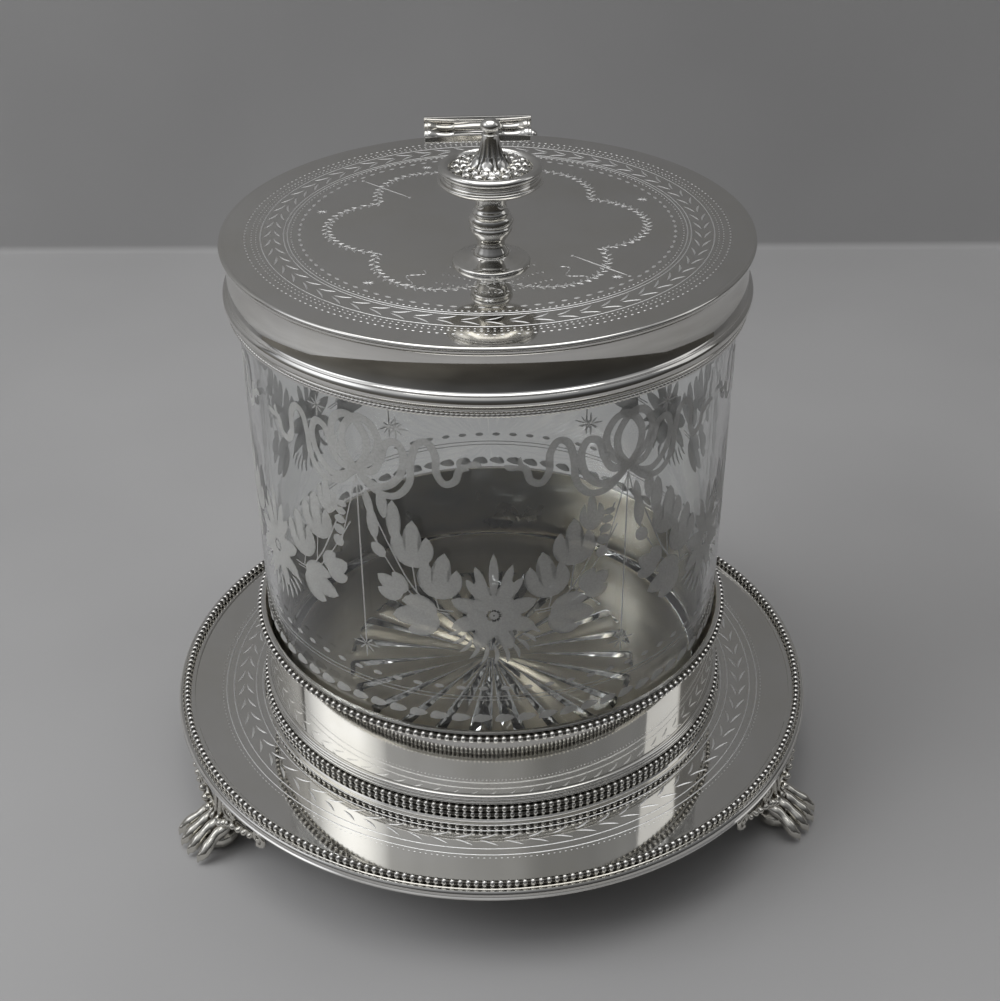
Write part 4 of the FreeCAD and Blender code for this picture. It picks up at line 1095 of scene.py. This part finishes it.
# %% Lion paw
def paw():
    """Paw with four toes, a fluted leg and a ruff of fur at the ankle, along +X, in mm."""
    shapes = [lump((101.4, 0, 3.4), (6.6, 6.8, 4.3)), lump((96.9, 0, 3.9), (3.2, 4.3, 4.2))]
    for finger in (-1.5, -0.5, 0.5, 1.5):
        back = 1.2 if abs(finger) > 1 else 0.0
        knuckle, tip = finger * 3.7, finger * 4.7
        toe = [(99.4, finger * 2.6, 10.2), (102.2 - back, knuckle, 8.9), (105.2 - back, knuckle, 7.6),
               (108.0 - back, (knuckle + tip) / 2, 5.9), (110.4 - back, tip, 3.9), (112.0 - back, tip, 1.6)]
        claw = [(110.2 - back, tip, 4.9), (112.4 - back, tip, 3.4), (113.0 - back, tip, 0.8)]
        sinew = [(98.6, finger * 1.9, 13.5), (100.4, finger * 2.9, 10.4), (103.4 - back, knuckle, 9.6),
                 (106.0 - back, knuckle, 8.6)]
        shapes += [roll(toe, [1.0, 1.75, 1.95, 1.55, 1.95, 1.75, 0.8], 14), roll(claw, [0.9, 0.75, 0.3]),
                   roll(sinew, [0.7, 0.9, 0.7, 0.4])]
    spine = np.array([(98.0, 0, 4.0), (98.4, 0, 9.0), (97.4, 0, 15.0), (96.0, 0, 20.5),
                      (95.5, 0, UNDER_TRAY)])
    girth = np.array([4.4, 3.7, 3.6, 4.5, 5.6])
    shapes.append(roll(spine, girth, 20))
    for degrees in np.arange(-150, 180, 30):
        turn = math.radians(degrees)
        flute = spine[1:] + girth[1:, None] * 0.93 * np.array([math.cos(turn), math.sin(turn), 0])
        shapes.append(roll(flute, [0.75, 0.85, 0.95, 1.15], 8))
        ruff = (98.3 + 4.3 * math.cos(turn), 4.3 * math.sin(turn), 9.6)
        shapes.append(lump(ruff, (1.15, 1.15, 1.9)))
    return pressed("paw", shapes, 0.36, 0.0, UNDER_TRAY)


# %% [markdown]
# The brackets beside each leg are scrolled wings that follow the round of the tray. They are drawn
# flat, by the way along the rim and the height, and then bent round it.

# %% Scrolled wings
RIM_RUN = radius_of("tray_border") / MM - 3.9


def under_rim(along, height, out=0.0):
    """Place under the rim, from the way along it, the height and how far it stands out, in mm."""
    along, height = np.asarray(along, dtype=float), np.asarray(height, dtype=float)
    reach = RIM_RUN + out
    return np.stack([reach * np.cos(along / RIM_RUN), reach * np.sin(along / RIM_RUN),
                     height + 0 * along], -1)


def scroll(along, height, size, hand, turns, thick, start=0.0, out=0.4):
    """Roll wound to a spiral under the rim."""
    t = np.linspace(0, 1, 22)
    angle = start + t * turns * TURN
    radius = size * (1 - 0.78 * t)
    path = under_rim(hand * (along + radius * np.cos(angle)), height + radius * np.sin(angle), out)
    return roll(path[::2], [thick, thick * 0.85, thick * 0.6], 8)


def wings():
    """Both scrolled wings beside one leg: a thin web under a rail, three scrolls on props, a chain of
    beads that rises outwards, and small leaves between."""
    shapes = []
    for hand in (-1, 1):
        run = np.linspace(5.2, 27.0, 16)
        bottom = np.interp(run, [5.2, 9, 16, 22, 27], [15.5, 16.8, 18.6, 20.4, 21.4])
        web = [under_rim(hand * run, bottom, -0.9), under_rim(hand * run, bottom, 0.1),
               under_rim(hand * run, np.full(16, 24.5), 0.1), under_rim(hand * run, np.full(16, 24.5), -0.9)]
        shapes.append((np.stack(web, 1).reshape(-1, 3), 16, 4))
        shapes.append(roll(under_rim(hand * np.linspace(5.0, 27.6, 8), 23.9, 0.2), [0.6, 0.6], 8))
        shapes.append(scroll(9.8, 18.6, 3.3, hand, 1.5, 0.95, math.pi * 0.8, 1.9))
        shapes.append(scroll(25.0, 19.4, 2.8, hand, 1.4, 0.95, -math.pi * 0.6, 2.2))
        shapes.append(scroll(17.6, 20.8, 1.9, hand, 1.2, 0.7, math.pi * 0.9, 1.2))
        for along, height in ((9.8, 20.5), (17.6, 21.5), (25.0, 21.0)):
            prop = np.stack([under_rim(hand * along, height, out) for out in (-0.5, 0.8, 2.0)])
            shapes.append(roll(prop, [1.2, 1.1], 8))
        along = np.array([4.2, 6.6, 9.2, 12.0, 14.8, 17.6, 20.4, 23.0])
        drop = np.array([10.2, 12.2, 14.0, 15.0, 15.6, 16.4, 17.0, 18.4])
        for place_on, level, size in zip(along, drop, np.linspace(1.7, 0.95, 8)):
            leaf = under_rim(hand * place_on, level, 3.0 - 0.05 * place_on)
            shapes.append(lump(leaf, (size, size * 0.95, size * 0.85)))
        shapes.append(roll(under_rim(hand * along, drop + 0.6, 1.4), [0.9, 0.6], 8))
        for along, height, lean in ((7.6, 18.6, 70), (15.4, 20.6, 50), (16.8, 22.2, 20), (22.6, 22.4, 40),
                                    (24.2, 21.2, 10), (8.4, 22.0, 80)):
            shapes.append(lump(under_rim(hand * along, height, 1.6), (0.9, 1.8, 0.8), lean))
    return pressed("wings", shapes, 0.34, 0.5, UNDER_TRAY)


# %% [markdown]
# A foundry casts all feet from one pattern. So do we: one paw and one pair of wings are made, and turned
# copies of the mesh stand at the back, the left and the right.

# %% Castings in place
PAW_SKIN, WING_SKIN = paw(), wings()
for label, degrees in (("back", 90), ("left", 210), ("right", 330)):
    for kind, skin in (("foot", PAW_SKIN), ("bracket", WING_SKIN)):
        copy = skin.copy()
        copy.transform(Matrix.Rotation(math.radians(degrees), 4, "Z"))
        piece = bpy.data.objects.new(f"{kind}_{label}_cast", copy)
        bpy.context.scene.collection.objects.link(piece)
        stands_for(piece, "stand", CAST, "cast_silver", f"{kind}_{label}")
print("paw faces", len(PAW_SKIN.polygons), "wing faces", len(WING_SKIN.polygons))

# %% [markdown]
# The finial is a stack of turned pieces on one screw: a foot, two swelling stems, a saucer, a fluted
# trumpet with leaves on it and a ball. Sizes are written as radius and height above the lid, and all
# pieces but the ball start at the screw's bore.

# %% Finial
def on_finial(*pairs):
    """Stations for the finial: radius and height above the lid, in mm. The screw's bore is 1.6."""
    return np.array(pairs, dtype=float) * MM + [0, LID_TOP]


def finial_part(name, profile, node_name, material=PLATE, wobble=None):
    """Turned finial piece that takes the place of a node of the frame."""
    piece = turned(name, profile, 96, (0.0, FINIAL_Y), wobble=wobble, closed=True, sharp=50)
    return stands_for(piece, "lid", material, "finial_silver", node_name)


finial_part("finial_base_disc", np.vstack([
    on_finial((1.6, 0), (10.4, 0), (10.4, 0.6), (10.15, 0.95), (9.6, 1.1), (9.3, 1.05)),
    smooth_profile(on_finial((8.9, 1.3), (7.6, 1.5), (6.0, 1.95), (5.1, 2.4), (4.9, 2.6)), 4),
    on_finial((1.6, 2.6))]), "finial_foot")
finial_part("finial_lower_stem", np.vstack([
    on_finial((1.6, 2.64)),
    smooth_profile(on_finial((4.7, 2.64), (4.55, 3.3), (4.0, 4.4), (3.6, 5.4), (3.8, 6.4), (4.8, 8.0),
                             (5.6, 9.4), (5.6, 10.3), (5.3, 10.8)), 4), on_finial((1.6, 10.8))]),
    "finial_stem_lower")
finial_part("finial_upper_stem", np.vstack([
    on_finial((1.6, 10.84)),
    smooth_profile(on_finial((5.3, 10.84), (5.8, 11.4), (5.9, 12.1), (5.6, 13.1), (5.0, 13.7)), 4),
    smooth_profile(on_finial((4.7, 13.8), (4.9, 14.2), (4.7, 14.8), (4.2, 15.6), (4.05, 17.0),
                             (4.1, 18.6), (4.5, 19.7), (4.6, 20.2)), 4),
    on_finial((1.6, 20.2))]), "finial_stem_upper")
finial_part("finial_saucer_spun", np.vstack([
    on_finial((1.6, 20.24)),
    smooth_profile(on_finial((4.9, 20.26), (8.0, 20.6), (10.6, 21.1), (12.2, 21.7), (13.2, 22.4),
                             (13.75, 23.0), (13.8, 23.5), (13.4, 23.75), (12.95, 23.7)), 4),
    smooth_profile(on_finial((12.7, 23.72), (12.45, 24.1), (12.6, 24.5), (12.4, 24.85), (11.9, 24.95)), 4),
    on_finial((1.6, 24.9))]), "finial_saucer")

# %% [markdown]
# The trumpet over the saucer is fluted. Its flutes are a wobble of the radius round the turn, and they
# have to fade before the smooth roll at its rim and before its slim top.

# %% Fluted trumpet and ball
FLUTES = 14
FLUTE_FOOT, FLUTE_TOP, FLUTE_REACH = LID_TOP + 25.6 * MM, LID_TOP + 34.6 * MM, 9.6 * MM


def flutes(radius, height, angle):
    """Radius times 1 plus a cosine that goes round once a flute. It fades at the foot, top and rim."""
    fade = np.clip((height - FLUTE_FOOT) / (1.5 * MM), 0, 1)
    fade = fade * np.clip((FLUTE_TOP - height) / (6 * MM), 0, 1)
    fade = fade * np.clip((FLUTE_REACH - radius) / (2 * MM), 0, 1)
    return radius * (1 + 0.11 * fade * np.cos(FLUTES * angle)), height


trumpet = np.vstack([
    on_finial((1.6, 24.98), (12.0, 24.98)),
    smooth_profile(on_finial((12.9, 25.2), (13.5, 25.9), (13.35, 26.7), (12.6, 27.2), (11.6, 27.2),
                             (10.8, 26.6), (10.5, 25.9)), 4),
    smooth_profile(on_finial((10.2, 25.5), (8.2, 25.7), (6.3, 26.4), (4.9, 27.4), (3.9, 28.6),
                             (3.1, 30.2), (2.5, 32.2), (2.15, 34.0), (2.1, 35.0)), 5),
    on_finial((1.6, 35.0))])
finial_part("finial_fluted_trumpet", trumpet, "finial_leaf_crown", FINIAL, flutes)
ball_turn = np.linspace(-1.15, 1.5, 16)
ball_run = np.stack([2.55 * np.cos(ball_turn), 37.3 + 1.85 * np.sin(ball_turn)], -1)
ball_profile = np.vstack([on_finial((0.3, 35.04), (2.1, 35.04), (2.25, 35.2), (2.1, 35.4), (1.6, 35.6)),
                          on_finial(*ball_run.tolist()), on_finial((0.05, 39.16))])
finial_knob = turned("finial_knob", ball_profile, 64, (0.0, FINIAL_Y))
stands_for(finial_knob, "lid", PLATE, "finial_silver", "finial_ball")
print("finial top above the lid in mm:", round(in_mm(ball_profile[:, 1].max() - LID_TOP), 2))

# %% [markdown]
# Three rings of leaves lie on the crown. Each leaf is a bent strip with a groove along its middle and
# lobes along its edges, and its tip turns down. They could be modelled one by one, but all of a ring
# are alike, so one leaf is worked out as a small grid and turned copies come from the same arrays.

# %% Chased leaves
def chased_leaves(name, count, path, wide, first=0.0, lobes=3):
    """Ring of leaves. Each follows a path of radius and height, and is wide as a sine of the way along
    with lobes on it. Its section is low, with a groove along its top and a flat underside."""
    path = smooth_profile(path, 5)
    t = np.linspace(0, 1, len(path))
    body = np.sin(math.pi * (0.12 + 0.80 * t)) * (1 + 0.22 * np.cos(TURN * lobes * t))
    across = np.array([-1, -0.5, 0, 0.5, 1, 0.4, -0.4])
    lift = np.array([0.0, 0.32, 0.22, 0.32, 0.0, -0.25, -0.25])
    run = np.gradient(path, axis=0)
    run /= np.linalg.norm(run, axis=1, keepdims=True)
    outward = np.stack([-run[:, 1], run[:, 0]], -1)
    radius = path[:, :1] + outward[:, :1] * lift
    height = path[:, 1:] + outward[:, 1:] * lift
    side = across[None, :] * body[:, None] * wide
    angle = first + np.arange(count) * TURN / count
    cos, sin = np.cos(angle)[:, None, None], np.sin(angle)[:, None, None]
    points = np.stack([radius * cos - side * sin, radius * sin + side * cos,
                       np.broadcast_to(height, (count, *height.shape))], -1)
    rows, columns = radius.shape
    quads, ends = facing(points[0], grid_faces(rows, columns), grid_ends(rows, columns))
    starts = np.arange(count) * rows * columns
    caps = [tuple(index + start for index in end) for start in starts.tolist() for end in ends]
    quads = (quads[None] + starts[:, None, None]).reshape(-1, 4)
    points = points.reshape(-1, 3) * MM + [0, FINIAL_Y, LID_TOP]
    return stands_for(mesh_from(name, points, quads, caps, 50), "lid", FINIAL, "finial_silver")


chased_leaves("finial_leaves_outer", 16,
              [(6.4, 25.7), (7.3, 26.5), (8.3, 27.0), (9.2, 27.1), (9.9, 26.6), (9.8, 26.0)], 1.05)
chased_leaves("finial_leaves_inner", 16,
              [(4.9, 26.7), (5.8, 27.3), (6.8, 27.6), (7.7, 27.4), (8.2, 26.8), (8.0, 26.2)], 0.85,
              TURN / 32)
chased_leaves("finial_trumpet_leaves", 7,
              [(3.5, 30.0), (4.1, 28.8), (5.2, 27.5), (6.7, 26.7), (7.5, 26.3)], 1.25)

# %% [markdown]
# The hinge barrel is a turned bobbin in three lengths on one pin: flared at its ends, narrow where the
# knuckles meet and swelling in the middle. Behind it stands a plain stop plate on a small block that
# follows the curve of the mount.

# %% Hinge
HINGE_Y = sum(corner[1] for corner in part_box("hinge_pin")) / 2
HINGE_Z = sum(corner[2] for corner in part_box("hinge_pin")) / 2
HALF_HINGE = -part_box("hinge_bracket")[0][0]
HALF_MIDDLE = -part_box("lid_hinge_leaf")[0][0]


def bobbin(profile, around=40):
    """Closed surface of (place along X, radius) turned about the hinge axis."""
    profile = smooth_profile(profile, 4)
    angle = np.linspace(0, TURN, around, endpoint=False)[None, :]
    return np.stack([np.broadcast_to(profile[:, :1], (len(profile), around)),
                     HINGE_Y + profile[:, 1:] * np.cos(angle), HINGE_Z + profile[:, 1:] * np.sin(angle)], -1)


def slab(outline, bottom, top):
    """Upright block over an outline of (x, y), as a grid of two levels."""
    outline = np.asarray(outline, dtype=float)
    level = np.ones((len(outline), 1))
    return np.stack([np.hstack([outline, bottom * level]), np.hstack([outline, top * level])])


def collected(name, grids, sharp=40):
    """Several closed grids in one mesh."""
    return mesh_from(name, *joined([(grid.reshape(-1, 3), *grid.shape[:2]) for grid in grids]), sharp)


def eased(piece, width):
    """Small round on every sharp edge."""
    bevel = piece.modifiers.new("eased", "BEVEL")
    bevel.width = width
    bevel.segments = 2
    bevel.limit_method = "ANGLE"
    bevel.angle_limit = math.radians(40)
    return piece


# %% [markdown]
# The middle length of the barrel belongs to the lid. A tongue, level with the lid's sheet, joins it to
# the lid's edge. It has to turn with the lid, so it is a piece of its own.

# %% Knuckle on the lid
middle_half = in_mm(HALF_MIDDLE)
middle = bobbin(stations((-middle_half, 1.75), (-middle_half + 0.9, 1.7), (-4.0, 1.95), (-1.5, 2.2),
                         (1.5, 2.2), (4.0, 1.95), (middle_half - 0.9, 1.7), (middle_half, 1.75)))
spread = np.linspace(HALF_MIDDLE, -HALF_MIDDLE, 12)
edge_line = np.stack([spread, np.sqrt((LID_RADIUS + 0.05 * MM) ** 2 - spread ** 2)], -1)
tongue_end = HINGE_Y - 1.2 * MM
tongue = slab(np.vstack([edge_line, [(-HALF_MIDDLE, tongue_end), (HALF_MIDDLE, tongue_end)]]),
              low("lid_plate"), LID_TOP)
leaf = eased(collected("lid_hinge_knuckle", [middle, tongue]), 0.15 * MM)
stands_for(leaf, "lid", PLATE, "cast_silver", "lid_hinge_leaf")

# %% [markdown]
# The two outer lengths, the stop plate and its block belong to the jar. They are closed blocks and
# barrels collected in one mesh, with a small round on each sharp edge to catch the light.

# %% Bracket on the jar
hinge_half = in_mm(HALF_HINGE)
parts = []
for hand in (-1, 1):
    flare = np.array([(middle_half + 0.2, 1.75), (middle_half + 1.4, 1.45), (middle_half + 3.2, 1.4),
                      (hinge_half - 4.0, 1.9), (hinge_half - 2.4, 2.55), (hinge_half - 1.3, 2.8),
                      (hinge_half - 0.9, 2.6), (hinge_half - 0.3, 2.6), (hinge_half, 2.35)])
    parts.append(bobbin(flare * [hand, 1] * MM))
    web_low, web_high = (hinge_half - 4.2) * MM, (hinge_half - 0.6) * MM
    parts.append(slab([(hand * web_low, HINGE_Y + 1.6 * MM), (hand * web_high, HINGE_Y + 1.6 * MM),
                       (hand * web_high, HINGE_Y + 3.7 * MM), (hand * web_low, HINGE_Y + 3.7 * MM)],
                      HINGE_Z - 1.1 * MM, HINGE_Z + 1.1 * MM))
bracket_low, bracket_high = low("hinge_bracket"), high("hinge_bracket")
plate_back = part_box("hinge_bracket")[1][1]
plate_front = plate_back - 1.3 * MM
parts.append(slab([(-HALF_HINGE, plate_front), (HALF_HINGE, plate_front), (HALF_HINGE, plate_back),
                   (-HALF_HINGE, plate_back)], bracket_low, bracket_high))
seat = outside * MM + 0.05 * MM
spread = np.linspace(HALF_HINGE, -HALF_HINGE, 14)
seat_line = np.stack([spread, np.sqrt(seat ** 2 - spread ** 2)], -1)
parts.append(slab(np.vstack([seat_line, [(-HALF_HINGE, plate_front), (HALF_HINGE, plate_front)]]),
                  bracket_low, bracket_low + 3.6 * MM))
stand = eased(collected("hinge_bracket_cast", parts), 0.2 * MM)
stands_for(stand, "jar", PLATE, "cast_silver", "hinge_bracket")
print("hinge made, pin axis at", [round(in_mm(v), 2) for v in (HINGE_Y, HINGE_Z)])

# %% [markdown]
# The photo was taken from above and in front, with a lens a little longer than normal. The camera was
# worked out from the round rims, which look like ellipses: their shape gives the tilt and the distance.
# The whole view is turned a little round the jar, because the jar was not set square to the lens.

# %% Camera
SHOT_TURN = math.radians(-2.5)
CAMERA = {"aside": 3.04 * MM, "back": 405.2 * MM, "up": 327.8 * MM, "pitch": 32.91, "roll": -0.32,
          "focal_px": 1547.0}


def add_camera():
    """Camera at the photo's height, distance and tilt, turned round the jar by a small angle."""
    data = bpy.data.cameras.new("photo_camera")
    data.sensor_fit = "HORIZONTAL"
    data.sensor_width = 36.0
    data.lens = CAMERA["focal_px"] * data.sensor_width / 1000
    data.clip_start, data.clip_end = 0.01, 10
    camera = bpy.data.objects.new("photo_camera", data)
    bpy.context.scene.collection.objects.link(camera)
    stand_at = Vector((CAMERA["aside"], -CAMERA["back"], CAMERA["up"] + RIM_LEVEL))
    camera.location = Matrix.Rotation(SHOT_TURN, 3, "Z") @ stand_at
    camera.rotation_mode = "XYZ"
    tilt = math.radians(90 - CAMERA["pitch"])
    aim = Matrix.Rotation(SHOT_TURN, 4, "Z") @ Matrix.Rotation(tilt, 4, "X")
    aim = aim @ Matrix.Rotation(math.radians(CAMERA["roll"]), 4, "Z")
    camera.rotation_euler = aim.to_euler("XYZ")
    bpy.context.scene.camera = camera
    return camera


print("camera at", [round(part, 4) for part in add_camera().location])


# %% [markdown]
# A pale sheet stands for table and wall. It is only seen from the side of the jar: from behind or from
# below its faces are clear, so that the jar can be looked at from there too.

# %% Table and wall
FLOOR_FRONT, FLOOR_BACK = -0.42, 0.398


def backdrop():
    """Table top and the wall behind it, as one sheet with a tight bend."""
    bend = np.radians(np.linspace(-90, 0, 6))
    radius = 4 * MM
    distance = np.concatenate([[FLOOR_FRONT], FLOOR_BACK - radius + radius * np.cos(bend), [FLOOR_BACK]])
    height = np.concatenate([[0.0], radius + radius * np.sin(bend), [1.1]])
    x = np.array([1.6, -1.6])
    grid_x, grid_y, grid_z = np.broadcast_arrays(x[:, None], distance, height)
    points = np.stack([grid_x * math.cos(SHOT_TURN) - grid_y * math.sin(SHOT_TURN),
                       grid_x * math.sin(SHOT_TURN) + grid_y * math.cos(SHOT_TURN), grid_z], -1)
    piece = mesh_from("table_and_wall", points, grid_faces(2, len(distance), wrap_columns=False))
    card = plain("pale_card", (0.375, 0.37, 0.368), 0.0, 0.7, 3.0, 0.00001)
    tree = card.node_tree
    behind = node(tree, "ShaderNodeNewGeometry", output="Backfacing")
    feed(tree, tree.nodes["Principled BSDF"], Alpha=1.0 - behind)
    return dress(piece, card)


print("made", backdrop().name)

# %% [markdown]
# Silver shows what stands round it, so the room matters more than the lamps. The world is brighter
# overhead and to the left, with soft patches and one window-like glow. Three lamps add the shadows. The
# lamp on the left is hidden from reflections, because its square outline would show in the gallery.

# %% Lamps and room
def lamp(name, place_at, target, size, power, colour=(1, 1, 1)):
    """Rectangular soft light, aimed at a point."""
    data = bpy.data.lights.new(name, "AREA")
    data.shape = "RECTANGLE"
    data.size, data.size_y = size
    data.energy = power
    data.color = colour
    item = bpy.data.objects.new(name, data)
    bpy.context.scene.collection.objects.link(item)
    item.location = place_at
    item.rotation_euler = (Vector(target) - Vector(place_at)).to_track_quat("-Z", "Y").to_euler()
    return item


def world_light():
    """Room light by direction: bright overhead and to the left, dim low down towards the camera."""
    world = bpy.data.worlds.new("room")
    bpy.context.scene.world = world
    world.use_nodes = True
    tree = world.node_tree
    background = tree.nodes["Background"]
    where = node(tree, "ShaderNodeTexCoord", output="Generated")
    parts = node(tree, "ShaderNodeSeparateXYZ", {}, {0: where})
    x, y, z = (Sum(tree, parts.socket.node.outputs[k]) for k in range(3))
    ramp = node(tree, "ShaderNodeValToRGB", {"stops": [
        (0.0, (0.22, 0.20, 0.165, 1)), (0.49, (0.12, 0.115, 0.105, 1)), (0.60, (0.16, 0.16, 0.16, 1)),
        (0.74, (0.34, 0.345, 0.36, 1)), (0.88, (0.72, 0.73, 0.75, 1)), (1.0, (0.95, 0.95, 0.96, 1))]},
        {0: z * 0.5 + 0.5})
    side = 0.80 - x * 0.35 + y * 0.40
    patches = noise(tree, where, 2.2, 2.0, 0.5)
    glow = (z * 0.55 - x * 0.83 - y * 0.10).clear(0.925, 0.985)
    light = side * (patches * 0.9 + 0.50) + glow * 1.6
    tree.links.new(ramp.socket, background.inputs["Color"])
    tree.links.new(light.socket, background.inputs["Strength"])


world_light()
window = lamp("window_left", (-1.1, -0.25, 0.95), (0, 0, 0.1), (1.0, 0.8), 10.5, (0.97, 0.985, 1.0))
window.visible_glossy = False
lamp("window_right", (1.3, 0.2, 0.9), (0, 0, 0.1), (0.8, 0.8), 1.0)
lamp("room_above", (0.0, 0.1, 1.6), (0, 0, 0.0), (1.4, 1.4), 8.5)
bpy.context.scene.view_settings.view_transform = "Standard"
